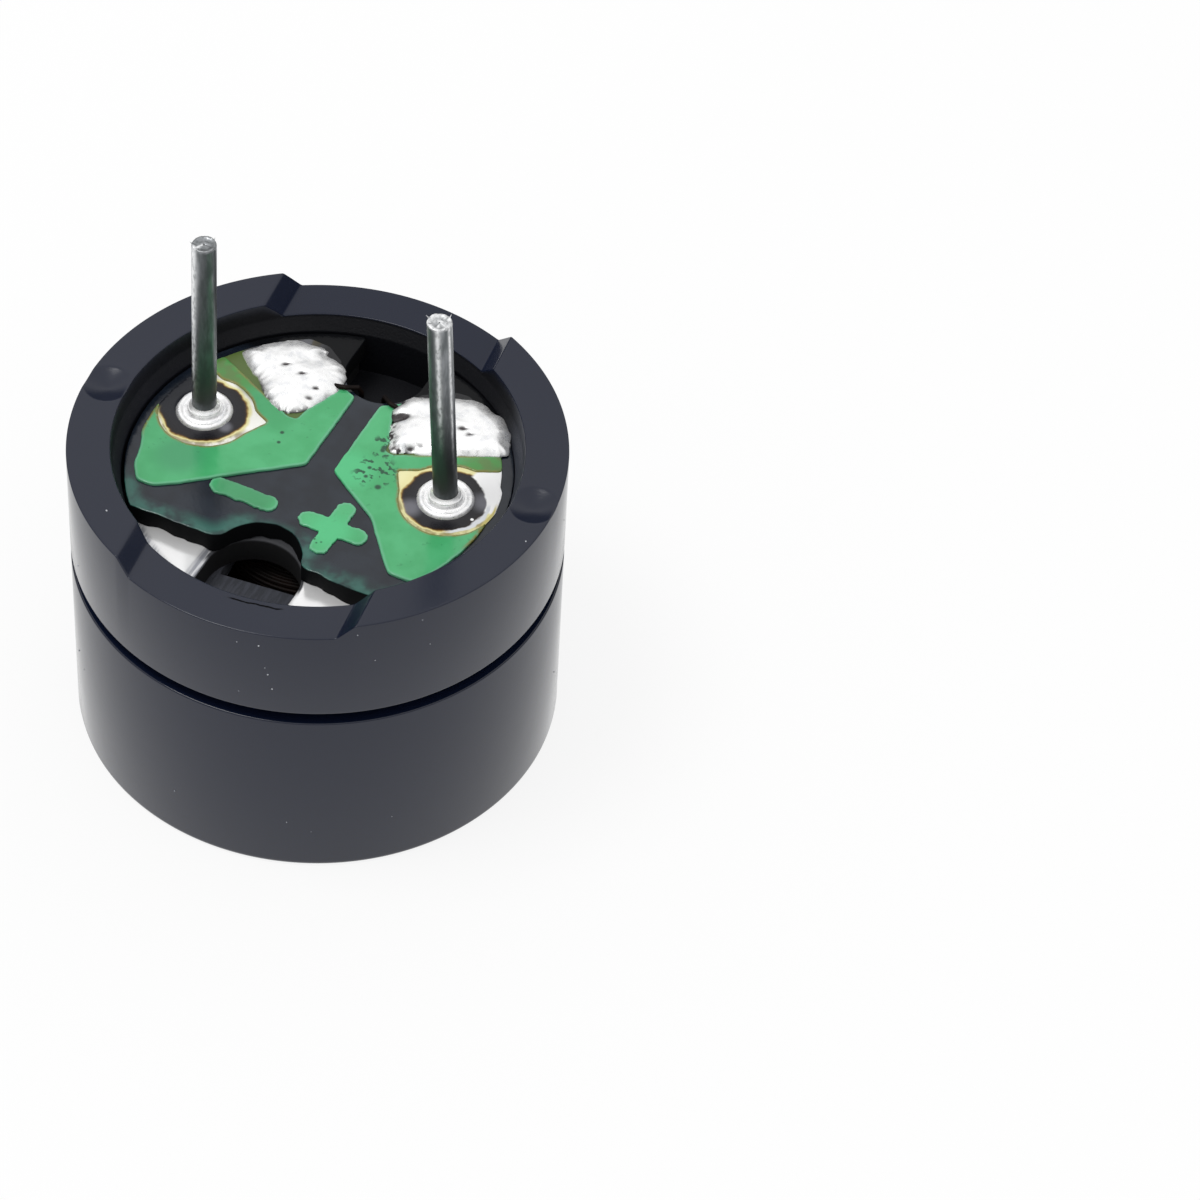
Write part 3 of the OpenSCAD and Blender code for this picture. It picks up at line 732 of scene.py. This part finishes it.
def pin(side, finish, seed):
    low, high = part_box(side + "_pin")
    tip = high.z / MM - 0.05
    angles = np.linspace(0, 2 * np.pi, 72, endpoint=False)
    section = [(0.02, low.z / MM), (FOOT_R, low.z / MM), (FOOT_R, COPPER_TOP), (NECK_R, NECK_Z),
               (SHAFT_R, NECK_Z + 0.01)]
    section += [(SHAFT_R, z) for z in np.arange(NECK_Z + 0.08, tip - 0.09, 0.05)]
    section += [(r, tip - down) for r, down in TIP_SECTION]

    def centre(z):
        return PIN_FOOT[side] + math.tan(PIN_LEAN[side]) * np.maximum(z - NECK_Z, 0)

    def place(r, z):
        drawn = [noise_in(math.cos(a) * 2.2, math.sin(a) * 2.2, z * 0.25 + seed) for a in angles]
        torn = [noise_in(math.cos(a) * r * 9, math.sin(a) * r * 9, seed + 7) for a in angles]
        near_tip = min(max((z - tip + 0.08) / 0.06, 0), 1)
        reach = r + 0.0015 * np.array(drawn) * (z > NECK_Z)
        height = z + 0.022 * np.array(torn) * near_tip
        return np.stack([centre(z) + reach * np.cos(angles), PIN_Y + reach * np.sin(angles), height], 1)
    points, faces = revolve(section, place=place)
    points = list(points)
    for degrees, reach, rise in BURRS[side]:
        corners = ((-0.09, 0.28, -0.03), (0.09, 0.28, -0.03), (0, 0.25, -0.03), (0.05, 0.29 + reach, rise))
        first = len(points)
        for turn, r, z in corners:
            a = math.radians(degrees) + turn
            points.append((centre(tip) + r * math.cos(a), PIN_Y + r * math.sin(a),
                           min(tip + z, high.z / MM - 0.001)))
        faces += [tuple(first + k for k in face) for face in ((0, 1, 3), (1, 2, 3), (2, 0, 3), (0, 2, 1))]
    made = new_object(side + "_pin_wire", points, faces)
    x, y, z = np.array([v.co for v in made.data.vertices]).T / MM
    direction = np.arctan2(y - PIN_Y, x - centre(z))
    # Where the painted highlights go: streaks down the pin, its cut end and burrs.
    painted_highlight = 0
    for degrees, width, start in HIGHLIGHT_STREAKS[side]:
        off = np.abs((direction - math.radians(degrees) + np.pi) % (2 * np.pi) - np.pi)
        streak = np.exp(-(off / math.radians(width)) ** 2) * np.clip((z - start) / 1.5, 0, 1)
        painted_highlight = np.maximum(painted_highlight, streak)
    at_tip = np.clip((z - tip + 0.05) / 0.03, 0, 1) * TIP_HIGHLIGHT[side]
    mark(made, "painted_highlight", np.maximum(painted_highlight, np.maximum(at_tip, z > tip + 0.025)))
    return dress(made, finish, "pin_tin", side + "_pin", sharp=50)


# %% [markdown]
# ## Yoke plate
# The plate under the board is punched from soft iron and nickel plated. Punching rounds its upper
# edge, and that edge catches the light in the front notch.

# %% Yoke plate


def yoke_plate(finish):
    low, high = (v.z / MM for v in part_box("yoke_plate"))
    made = sheet("yoke_plate_punched", loops_of("yoke_plate"), low,
                 lambda x, y, gap: high - 0.05 * np.exp(-gap / 0.3) * (y < -1), 0.04, 0.1, smooth=0)
    return dress(made, finish, "nickel", "yoke_plate")


# %% [markdown]
# ## Finishes
# Every finish is worked out from the place on the object, in millimetres, so its pattern keeps its
# real size. Black plastic and black laminate look grey here mostly because their gloss mirrors the white
# studio; their own colour is nearly black, with a trace of blue. A few places on them are painted lighter,
# as painted light and painted reflection.

# %% Shared parts of the finishes


def started(name):
    """Starts a finish: its material, its shader, and the place on the object in millimetres."""
    made, tree, shader = material(name)
    place = tree.nodes.new("ShaderNodeTexCoord").outputs["Object"]
    return made, shader, add(tree, "ShaderNodeVectorMath", {0: place, "Scale": 1 / MM}, operation="SCALE")


def blend(share, first, second):
    """Mixes two colours, each a hex code or a socket, by a share from 0 to 1."""
    return add(share.id_data, "ShaderNodeMix", {0: share, 6: first, 7: second}, data_type="RGBA")


def ramp(value, stops):
    """A colour ramp. A stop is (place, hex colour)."""
    made = add(value.id_data, "ShaderNodeValToRGB", {0: value})
    elements = made.node.color_ramp.elements
    while len(elements) < len(stops):
        elements.new(0.5)
    for element, (place, colour) in zip(elements, stops):
        element.position = place
        element.color = linear(colour)
    return made


def stored(place, name):
    """The number that each vertex stores under a name."""
    return add(place.id_data, "ShaderNodeAttribute", {}, attribute_name=name).node.outputs["Fac"]


def noise_at(place, size, detail=3.0, stretch=(1, 1, 1)):
    """Noise whose lumps have the given size in millimetres. stretch above 1 makes them shorter."""
    spread = add(place.id_data, "ShaderNodeVectorMath", {0: place, 1: stretch}, operation="MULTIPLY")
    return add(place.id_data, "ShaderNodeTexNoise", {"Scale": 1 / size, "Detail": detail, "Vector": spread})


def away(place, spot):
    """The distance from one spot."""
    return add(place.id_data, "ShaderNodeVectorMath", {0: place, 1: spot}, operation="DISTANCE")


def off_axis(place):
    """The distance from the case's axis."""
    flat = add(place.id_data, "ShaderNodeVectorMath", {0: place, 1: (1, 1, 0)}, operation="MULTIPLY")
    return add(place.id_data, "ShaderNodeVectorMath", {0: flat}, operation="LENGTH")


def spots(place, level, spots_at, soft=0.5):
    """1 inside round spots at one height, given as x, y and radius in millimetres, and 0 outside."""
    total = None
    for x, y, size in spots_at:
        share = between(away(place, (x, y, level)), size, size * (1 - soft))
        total = share if total is None else most(total, share)
    return total


# %% Case plastic
FLASH_R = 5.17   # radius of the hair of flash on the front slot's floor, in millimetres


def case_plastic():
    """Glossy black moulding plastic. The mould's polished walls give the sides a mirror skin, its end
    faces are a little duller, and the recess and the sound face were spark eroded, so they scatter the
    light: the recess drinks it, and the sound face has a fine grain."""
    made, shader, place = started("moulded_black_plastic")
    x, y, height = axes(place)
    from_axis = off_axis(place)
    face = both(between(height, 0.06, 0.04), between(from_axis, FIELD_R, FIELD_R - 0.03))
    recess = both(between(height, FLOOR_Z - 0.1, FLOOR_Z - 0.05),
                  between(from_axis, RIM_R + 0.01, RIM_R - 0.02))
    rim = both(between(height, RIM_TOP - 0.55, RIM_TOP - 0.5),
               between(from_axis, CASE_R - 0.01, CASE_R - 0.03))
    eroded = most(face, recess)
    gloss = between(noise_at(place, 2.5), 0.35, 0.7, 0.08, 0.13)
    gloss = maths("MULTIPLY_ADD", rim, 0.12, gloss)
    gloss = maths("MULTIPLY_ADD", eroded, 0.4, gloss)
    sunk = both(between(height, RIM_TOP - 0.3, RIM_TOP - 0.4), between(y, 2, 3))
    sunk = both(both(sunk, rim), between(from_axis, RIM_R, RIM_R + 0.02))
    shine = both(between(recess, 0, 1, 0.5, 0.3), between(sunk, 0, 1, 1.0, 0.75))
    shine = both(shine, between(y, -2, 6.5, 1.0, 0.85))
    grain = both(noise_at(place, 0.05, 2.0), between(eroded, 0, 1, 0.15, 1.0))
    skin = maths("MULTIPLY_ADD", noise_at(place, 0.9, 2.0), 0.3, grain)
    # In the recess the colour is darker towards the back, and the right wall is painted lighter, as painted
    # light.
    recess_tone_and_painted_light = blend(between(y, 0, 3), "#15171F", "#0B0C11")
    recess_tone_and_painted_light = blend(between(x, 3.3, 4.2), recess_tone_and_painted_light, "#3A3D46")
    colour = blend(recess, "#10172A", recess_tone_and_painted_light)
    # The frame's ledge under the front notch is painted grey and streaked, as a painted reflection of the
    # sky.
    floor = both(between(height, YOKE_Z + 0.06, YOKE_Z + 0.02),
                 between(from_axis, RECESS_R + 0.1, RECESS_R + 0.05))
    floor = both(floor, between(y, -1, -1.5))
    ledge_painted_reflection = blend(between(noise_at(place, 0.07, 2.0, (1, 0.12, 1)), 0.35, 0.65), "#3A3C42", "#464850")
    colour = blend(floor, colour, ledge_painted_reflection)
    gloss = maths("MULTIPLY_ADD", floor, 0.4, gloss)
    off_line = maths("MULTIPLY_ADD", noise_at(place, 0.25), 0.12, maths("SUBTRACT", from_axis, FLASH_R))
    flash = both(between(maths("ABSOLUTE", off_line), 0.035, 0.015),
                 spots(place, RIM_TOP - FRONT_DEPTH, [(0.95, -5.05, 0.75)], 0.3))
    colour = blend(flash, colour, "#020203")
    shine = both(shine, between(flash, 0, 1, 1.0, 0.1))
    wire_up(shader, {"Base Color": colour, "Roughness": gloss, "Specular IOR Level": shine, "IOR": 1.48},
            skin, 0.01)
    return made


# %% Laminate and mask
MASK_SPECKS = [(1.59, 0.02, 0.1275), (1.45, 0.54, 0.085), (1.12, 0.51, 0.085), (1.17, 0.21, 0.085),
               (1.13, 1.27, 0.119), (1.14, 1.17, 0.102), (-1.29, 0.60, 0.085), (-1.21, 0.27, 0.0765),
               (1.02, -2.18, 0.0595), (1.12, -2.27, 0.051), (1.21, -2.20, 0.051)]   # x, y and radius
# Spots where the green is painted lighter or darker: x, y, radius and colour
MASK_TINTS = [(0.71, 0.25, 0.9, "#51BD7F"), (1.21, -1.77, 0.8, "#51BD7F"), (-3.10, -1.19, 0.9, "#429B68")]


def laminate():
    """Black phenolic paper board. The flat face has a thin resin skin that is glossy; along the front
    edge a teal band is painted on as a highlight, and behind the coil joints, near the recess's back wall,
    the face is painted dark and dull as shade. The punched edge is painted near black, as shade."""
    made, shader, place = started("black_paper_laminate")
    _, y, height = axes(place)
    face = between(height, BOARD_TOP - 0.03, BOARD_TOP - 0.004)
    # Painted highlight: a teal band along the board's front edge.
    teal_edge_highlight = both(between(stored(place, "gap"), 0.55, 0.12), between(y, -1.9, -2.4))
    teal_edge_highlight = both(teal_edge_highlight, between(noise_at(place, 0.6), 0.35, 0.6, 0.15, 1.0))
    colour = blend(between(noise_at(place, 0.7), 0.35, 0.65), "#0C141F", "#19212C")
    colour = blend(teal_edge_highlight, colour, "#2F6258")
    # Painted shade: off the top face, on the punched edge, the laminate is near black.
    colour = blend(face, "#060709", colour)
    # Painted shade: near the recess's back wall the face is dark and dull.
    back_wall_shade = both(between(y, 2.75, 3.1), face)
    colour = blend(back_wall_shade, colour, "#0A0B0E")
    gloss = between(face, 0, 1, 0.7, 0.2)
    shine = both(between(face, 0, 1, 0.12, 0.5), between(back_wall_shade, 0, 1, 1.0, 0.25))
    wire_up(shader, {"Base Color": colour, "Roughness": gloss, "Specular IOR Level": shine, "IOR": 1.5},
            noise_at(place, 0.12, 3.0, (1, 3, 1)), 0.003)
    return made


def mask_lacquer():
    """Green lacquer, screen printed and cured. It gets paler where it thins at its edge, yellower where
    the solder's heat reached it, brown at the pin openings, and dark where dirt lies in it."""
    made, shader, place = started("green_solder_mask")
    colour = blend(between(noise_at(place, 0.8), 0.3, 0.7), "#43A669", "#50B377")
    thin = between(stored(place, "gap"), 0.10, 0.02)
    colour = blend(between(thin, 0, 1, 0, 0.55), colour, "#6FB391")
    heat = spots(place, MASK_TOP, [(4.1, 1.5, 1.9), (-3.3, 2.1, 1.3)], 0.7)
    olive = blend(between(noise_at(place, 0.35), 0.4, 0.6), "#4C8C3E", "#5C7A3C")
    colour = blend(between(heat, 0, 1, 0, 0.9), colour, olive)
    low = spots(place, MASK_TOP, [(*middle_of("minus_mark"), 1.0)], 0.5)
    colour = blend(between(low, 0, 1, 0, 0.6), colour, "#378255")
    for x, y, size, tint in MASK_TINTS:
        colour = blend(spots(place, MASK_TOP, [(x, y, size)], 0.7), colour, tint)
    round_pin = spots(place, MASK_TOP, [(x, PIN_Y, 1.75) for x in PIN_FOOT.values()], 0.15)
    seared = both(both(round_pin, thin), between(noise_at(place, 0.15), 0.3, 0.5, 0.4, 1))
    colour = blend(seared, colour, "#7C7A3A")
    grit = noise_at(place, 0.16, 2.0)
    dirty = spots(place, MASK_TOP, [(1.30, 0.45, 0.7), (1.12, 1.30, 0.5)], 0.5)
    specks = most(spots(place, MASK_TOP, MASK_SPECKS, 0.8), between(grit, 0.68, 0.74, 0.0, 0.3))
    specks = most(specks, both(between(grit, 0.53, 0.60, 0.0, 0.9), dirty))
    colour = blend(between(specks, 0, 1, 0, 0.9), colour, "#12382A")
    wire_up(shader, {"Base Color": colour, "Roughness": 0.16, "IOR": 1.5}, noise_at(place, 0.3, 2.0), 0.004)
    return made


# %% Foil and solder
POOL_REACH = 1.5   # distance from a pin at which the flux pool's colours end, in millimetres
POOL = [(0.0, "#2A2A30"), (0.66, "#1A191D"), (0.725, "#1D1614"), (0.755, "#4A3214"), (0.775, "#A98C4A"),
        (0.80, "#E9E2A6"), (1.0, "#F1ECB8")]   # share of that distance and colour
STRIP_SLOPE = 0.488   # rise of the mask strip between a pin and its coil joint, away from the middle


def tinned_foil():
    """Copper foil with a skin of solder. Round each pin a dark, glassy pool of flux lies on it, with a
    brown edge; outside the pool the flux is a thin cream film, soiled towards the front, and farther
    out the metal is clean. Grey patches at the pools' edges, a pale crescent beside the positive pin and a
    tiny white glint are painted highlights. Behind the mask strips it is olive, then stained, and from
    x = -1.6 rightwards it is near black."""
    made, shader, place = started("tinned_foil_with_flux")
    x, y, _ = axes(place)
    out = maths("ABSOLUTE", maths("SUBTRACT", x, PIN_SHIFT))
    mirrored = add(place.id_data, "ShaderNodeCombineXYZ", {0: out, 1: y})
    wave = between(noise_at(place, 0.4, 2.0), 0.2, 0.8, -0.05, 0.05)
    from_pin = maths("ADD", away(mirrored, (PIN_OUT, PIN_Y, 0)), wave)
    film = both(between(from_pin, 1.08, 1.18), between(x, -0.1, 0.1, 1, 0))
    colour = blend(film, ramp(between(from_pin, 0, POOL_REACH), POOL), "#FCFBF4")
    soiled = both(between(noise_at(place, 0.28, 3.0), 0.36, 0.58, 0.15, 0.75), between(y, 0.40, 0.05))
    soiled = both(soiled, both(between(from_pin, 1.06, 1.12), between(from_pin, 1.36, 1.26)))
    colour = blend(soiled, colour, "#84744A")
    # Painted highlights: grey patches at the edges of the dark pools.
    painted_gleam = spots(place, COPPER_TOP, [(2.56, -0.23, 0.42), (4.06, 0.76, 0.45), (-2.60, 0.15, 0.24),
                                      (-3.9, 0.9, 0.25)], 0.8)
    colour = blend(both(painted_gleam, between(from_pin, 1.02, 1.10, 0.8, 0)), colour, "#77777F")
    clean = both(spots(place, COPPER_TOP, [(4.25, 1.3, 0.88)], 0.12), between(from_pin, 0.95, 1.0))
    colour = blend(clean, colour, "#FFFFFF")
    # A painted glint: a tiny white spot on the positive land.
    colour = blend(spots(place, COPPER_TOP, [(4.05, 0.11, 0.05)], 0.4), colour, "#FFFFFF")
    # A painted highlight: a pale crescent beside the positive pin.
    highlight_crescent = both(between(from_pin, 0.98, 1.03), between(from_pin, 1.13, 1.09))
    highlight_crescent = both(highlight_crescent, between(x, PIN_OUT + 0.3, PIN_OUT + 0.6))
    colour = blend(both(highlight_crescent, between(y, 0.8, 0.6)), colour, "#DDE0E4")
    gap = stored(place, "gap")
    rimmed = both(between(gap, 0.10, 0.05), between(y, 0.9, 0.6))
    colour = blend(both(rimmed, between(gap, 0, 0.02)), colour, "#C9BC6E")
    shade = both(between(x, -PIN_OUT - 0.1, -PIN_OUT - 0.6), between(y, -0.35, 0.15))
    colour = blend(shade, colour, "#1B1D24")
    beyond = maths("MULTIPLY_ADD", out, -STRIP_SLOPE, y)
    stain_and_dark = blend(between(noise_at(place, 0.4), 0.4, 0.6), "#4A4430", "#5A5B60")
    # From x = -1.6 rightwards the foil behind the strips is near black.
    stain_and_dark = blend(between(x, -2.2, -1.6), stain_and_dark, "#1C1C1F")
    stain_and_dark = blend(between(beyond, 0.95, 1.15), "#566A36", stain_and_dark)
    colour = blend(between(beyond, 0.0, 0.2), colour, stain_and_dark)
    wire_up(shader, {"Base Color": colour, "Roughness": 0.25, "IOR": 1.4}, noise_at(place, 0.3), 0.006)
    return made


def solder_skin(name, grain):
    """Tin solder. Where it froze slowly it is frosted with a fine grain, given as a height in
    millimetres, and brown flux stays in its pits and along its torn edges."""
    made, shader, place = started(name)
    pit = stored(place, "pit")
    colour = blend(between(noise_at(place, 0.22), 0.30, 0.5), "#F0F1F3", "#FFFFFF")
    colour = blend(between(pit, 0.2, 0.9), colour, "#3A3436")
    metal = between(pit, 0.3, 0.9, 0.6, 0.1)
    gloss = between(noise_at(place, 0.12), 0.3, 0.7, 0.24, 0.42)
    wire_up(shader, {"Base Color": colour, "Metallic": metal, "Roughness": gloss},
            noise_at(place, 0.12), grain)
    return made


# %% Pin wire and yoke


def tinned_wire():
    """Drawn, hot tinned wire. Drawing leaves lines along it, and the tin over them is mottled and dull.
    Bright streaks and the cut end are painted highlights, and the lower part is painted darker as shade."""
    made, shader, place = started("drawn_tinned_wire")
    lines = noise_at(place, 0.09, 3.0, (1, 1, 0.06))
    mottle = noise_at(place, 0.16, 4.0, (1, 1, 0.2))
    colour = blend(between(mottle, 0.35, 0.65), "#686C6E", "#8A8D90")
    # The lower part of the pin is painted darker, as painted shade.
    colour = blend(between(axes(place)[2], 10.8, 8.8), colour, "#4C5052")
    # Painted highlights, broken up by noise.
    patchy = between(noise_at(place, 0.08, 3.0, (1, 1, 0.5)), 0.3, 0.6, 0.45, 1.0)
    painted_highlight = both(stored(place, "painted_highlight"), patchy)
    colour = blend(painted_highlight, colour, "#F4F5F6")
    metal = between(painted_highlight, 0.2, 0.9, 0.85, 0.25)
    gloss = between(mottle, 0.35, 0.65, 0.46, 0.32)
    wire_up(shader, {"Base Color": colour, "Metallic": metal, "Roughness": gloss},
            maths("MULTIPLY_ADD", mottle, 0.4, lines), 0.002)
    return made


def nickel_plate():
    """Bright nickel over punched soft iron. Rolling lines show through the plating; beside the notch,
    on its left, the plate is grey and finely streaked. A band next to the board's edge is painted dark as
    the board's shadow, a dark line runs along the notch's edges, and the plate's sides are painted near
    black as shade."""
    made, shader, place = started("nickel_on_iron")
    gap = stored(place, "gap")
    x, y, height = axes(place)
    lines = noise_at(place, 0.05, 2.0, (1, 0.05, 1))
    band = both(between(gap, 0.34, 0.16), between(x, -0.6, -0.9))
    band = both(band, between(lines, 0.35, 0.6, 0.35, 0.85))
    colour = blend(band, "#FFFFFF", "#7F828C")
    # Painted shadow of the board near the notch's inner end, and a dark line along the notch's edges.
    board_shadow_and_edge_line = both(between(y, -2.95, -2.75), between(gap, 0.5, 0.45))
    board_shadow_and_edge_line = most(board_shadow_and_edge_line, both(between(y, -3.6, -3.3), between(gap, 0.10, 0.06)))
    colour = blend(board_shadow_and_edge_line, colour, "#35363A")
    # Painted shade: the plate's sides are near black.
    cut = between(height, YOKE_TOP - 0.05, YOKE_TOP - 0.12)
    colour = blend(cut, colour, "#0C0C0E")
    painted_dark_parts = most(board_shadow_and_edge_line, cut)
    metal = between(painted_dark_parts, 0, 1, 0.45, 0.0)
    gloss = between(painted_dark_parts, 0, 1, 0.2, 0.7)
    wire_up(shader, {"Base Color": colour, "Metallic": metal, "Roughness": gloss}, lines, 0.0006)
    return made


# %% Finishes of the magnet system and of the dust
TOOL_PITCH = 0.06   # distance between the rings that the turning tool left, in millimetres


def enamelled_copper():
    """Copper wire in a thick enamel, painted nearly black as the shade deep in the case where it lies."""
    made, shader, place = started("enamelled_copper_wire")
    # Nearly black: painted shade, since the winding and leads lie deep inside the case.
    colour = blend(between(noise_at(place, 0.3), 0.35, 0.65), "#0A0605", "#160C09")
    wire_up(shader, {"Base Color": colour, "Roughness": 0.6, "IOR": 1.35, "Specular IOR Level": 0.25},
            noise_at(place, 0.05), 0.002)
    return made


def ground_iron():
    """Soft iron, turned and left bare. The tool leaves fine rings and a thin film of oil greys it."""
    made, shader, place = started("turned_soft_iron")
    rings = maths("SINE", both(off_axis(place), 2 * math.pi / TOOL_PITCH))
    relief = maths("MULTIPLY_ADD", rings, 0.25, noise_at(place, 0.3))
    colour = blend(between(noise_at(place, 0.6), 0.35, 0.65), "#7B7D80", "#9A9C9F")
    wire_up(shader, {"Base Color": colour, "Metallic": 1.0, "Roughness": 0.35}, relief, 0.002)
    return made


def sintered_ferrite():
    """Pressed and fired ferrite: dull charcoal with a fine grain."""
    made, shader, place = started("sintered_ferrite")
    grain = noise_at(place, 0.06, 4.0)
    colour = blend(between(grain, 0.35, 0.7), "#26272A", "#414347")
    wire_up(shader, {"Base Color": colour, "Roughness": 0.65}, grain, 0.01)
    return made


def spring_steel():
    """Rolled steel foil. Rolling leaves straight hair lines, and the anneal gave it a straw tint."""
    made, shader, place = started("rolled_spring_steel")
    lines = noise_at(place, 0.04, 3.0, (1, 0.03, 1))
    colour = blend(between(noise_at(place, 1.5), 0.35, 0.7), "#A9A59B", "#B59F7A")
    gloss = between(lines, 0.3, 0.7, 0.22, 0.34)
    wire_up(shader, {"Base Color": colour, "Metallic": 1.0, "Roughness": gloss}, lines, 0.0015)
    return made


def paper_dust():
    """Pale lint and dust that static holds on the plastic."""
    made, shader, place = started("pale_dust")
    colour = blend(between(noise_at(place, 0.5), 0.4, 0.6), "#8E9198", "#C9CBD0")
    wire_up(shader, {"Base Color": colour, "Roughness": 0.9})
    return made


# %% [markdown]
# ## What Geometry Nodes repeats
# The coil is one long wire laid in turns, so its look comes from spirals with a round section: one up
# the outside and one over each end. Dust sits at chosen places and at random ones, as small crumbs.

# %% Geometry Nodes helpers


def node_group(name, sockets):
    """Starts a Geometry Nodes tree with named inputs, given as name: (kind, value)."""
    group = bpy.data.node_groups.new(name, "GeometryNodeTree")
    group.interface.new_socket("Geometry", in_out="OUTPUT", socket_type="NodeSocketGeometry")
    keys = {}
    for label, (kind, value) in sockets.items():
        socket = group.interface.new_socket(label, in_out="INPUT", socket_type="NodeSocket" + kind)
        if value is not None:
            socket.default_value = value
        keys[label] = socket.identifier
    return group, group.nodes.new("NodeGroupInput").outputs, keys


def finish_group(group, shape, finish):
    """Ends a tree in real geometry with its material."""
    real = add(group, "GeometryNodeRealizeInstances", {0: shape})
    dressed = add(group, "GeometryNodeSetMaterial", {"Geometry": real, "Material": finish})
    feed(group.nodes.new("NodeGroupOutput").inputs[0], dressed)


def grown(name, group, keys, finish, base=None):
    """Runs a tree on a mesh, and keeps what it makes as a plain mesh object."""
    made = linked(name, base or bpy.data.meshes.new(name))
    step = made.modifiers.new("grow", "NODES")
    step.node_group = group
    step[keys["Finish"]] = finish
    bpy.context.view_layer.update()
    mesh = bpy.data.meshes.new_from_object(made.evaluated_get(bpy.context.evaluated_depsgraph_get()))
    made.modifiers.clear()
    made.data = mesh
    return made


# %% Coil winding and dust
WIRE_R, CORE_R, COIL_R, COIL_TURNS = 0.05, 1.3, 2.4, 11.0
SPECKS = [(-98, 1.51), (-70, 1.57), (-74, 6.8), (-81, 7.72), (-76, 7.74), (-50, 7.25),
          (-54, 8.2), (-39, 8.25)]   # angle in degrees and height
RIM_SPECKS = [(-3.39, -4.26), (5.8, -0.63)]
CRUMB_R, CRUMBS = 0.022, 26
EDGE_ROOM = 0.04   # random crumbs stay this far inside the case's widest places, so none stands past them
SEAM_GAP = 2.8   # what lifts a random crumb past the seam and its edges


def winding(finish):
    """Three spirals of wire: up the outside, and over each end. A plain body fills the coil inside them."""
    low, high = (v.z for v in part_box("coil"))
    group, given, keys = node_group("winding", {
        "Wire": ("Float", WIRE_R * MM), "Inner": ("Float", CORE_R * MM), "Outer": ("Float", COIL_R * MM),
        "Low": ("Float", low), "High": ("Float", high), "Turns": ("Float", COIL_TURNS),
        "Finish": ("Material", None)})
    profile = add(group, "GeometryNodeCurvePrimitiveCircle", {"Resolution": 8, "Radius": given["Wire"]})
    rise = maths("MULTIPLY_ADD", given["Wire"], -2.0, maths("SUBTRACT", given["High"], given["Low"]))
    joined = group.nodes.new("GeometryNodeJoinGeometry")
    for start, climb, level, inward in (("Outer", rise, "Low", 1.0), ("Inner", 0.0, "Low", 1.0),
                                        ("Inner", 0.0, "High", -1.0)):
        turns = add(group, "GeometryNodeCurveSpiral", {
            "Resolution": 72, "Rotations": given["Turns"], "Start Radius": given[start],
            "End Radius": given["Outer"], "Height": climb})
        tube = add(group, "GeometryNodeCurveToMesh", {
            "Curve": turns, "Profile Curve": profile, "Fill Caps": True})
        shift = add(group, "ShaderNodeCombineXYZ", {
            "Z": maths("MULTIPLY_ADD", given["Wire"], inward, given[level])})
        feed(joined.inputs[0], add(group, "GeometryNodeTransform", {"Geometry": tube, "Translation": shift}))
    finish_group(group, joined.outputs[0], given["Finish"])
    made = grown("coil_winding", group, keys, finish)
    inner, outer, bottom, top = CORE_R - 0.06, COIL_R - 0.02, low / MM + WIRE_R, high / MM - WIRE_R
    section = [(inner, bottom), (outer, bottom), (outer, top), (inner, top)]
    body = new_object("coil_body", *revolve(section, 96))
    dress(body, finish, "winding")
    return dress(made, finish, "winding", "coil", sharp=60)


def dust(finish):
    """Crumbs of dust: some at chosen places, the rest scattered at random over the case."""
    shown = [(CASE_R * math.cos(math.radians(a)), CASE_R * math.sin(math.radians(a)), z) for a, z in SPECKS]
    shown += [(x, y, RIM_TOP) for x, y in RIM_SPECKS]
    chance = np.random.default_rng(7)
    for angle, z in zip(chance.uniform(0, 2 * np.pi, CRUMBS), chance.uniform(0.4, 4.9, CRUMBS)):
        x, y = CASE_R * math.cos(angle), CASE_R * math.sin(angle)
        if max(abs(x), abs(y)) < CASE_R - EDGE_ROOM:
            shown.append((x, y, z + (z > 2.9) * SEAM_GAP))
    group, given, keys = node_group("dust", {
        "Places": ("Geometry", None), "Size": ("Float", CRUMB_R * MM), "Seed": ("Int", 4),
        "Finish": ("Material", None)})
    crumb = add(group, "GeometryNodeMeshIcoSphere", {"Subdivisions": 1, "Radius": given["Size"]})
    size = add(group, "FunctionNodeRandomValue", {"Min": 0.5, "Max": 1.3, "Seed": given["Seed"]},
               data_type="FLOAT")
    turn = add(group, "FunctionNodeRandomValue", {"Max": (6.28, 6.28, 6.28), "Seed": given["Seed"]},
               data_type="FLOAT_VECTOR")
    crumbs = add(group, "GeometryNodeInstanceOnPoints", {
        "Points": given["Places"], "Instance": crumb, "Scale": size, "Rotation": turn})
    finish_group(group, crumbs, given["Finish"])
    points = bpy.data.meshes.new("dust_places")
    points.from_pydata(np.array(shown) * MM, [], [])
    return dress(grown("dust", group, keys, finish, points), finish, "case", sharp=60)


# %% Build the case and the board
plastic = case_plastic()
base_frame(plastic)
cap(plastic)
circuit_board(laminate())
foil, lacquer, wire = tinned_foil(), mask_lacquer(), tinned_wire()
frosted, bright = solder_skin("frosted_tin_solder", 0.0015), solder_skin("bright_tin_solder", 0.0008)
for side, seed in (("negative", 11), ("positive", 23)):
    land(side, foil)
    mask(side, lacquer)
    coil_joint(side, frosted, seed)
    collar(side, bright, seed + 1)
    pin(side, wire, seed + 2)
sign("minus_mark", lacquer)
sign("plus_mark", lacquer)
yoke_plate(nickel_plate())
enamel = enamelled_copper()
winding(enamel)
dust(paper_dust())

# %% Finish the inner CAD nodes as they are
iron = ground_iron()
for name, finish in (("pole_core", iron), ("mass_disc", iron), ("ring_magnet", sintered_ferrite()),
                     ("diaphragm", spring_steel()), ("negative_lead", enamel), ("positive_lead", enamel)):
    inner = frame["nodes"][name].data
    inner.materials.clear()
    inner.materials.append(finish)
    print(name, "->", finish.name)
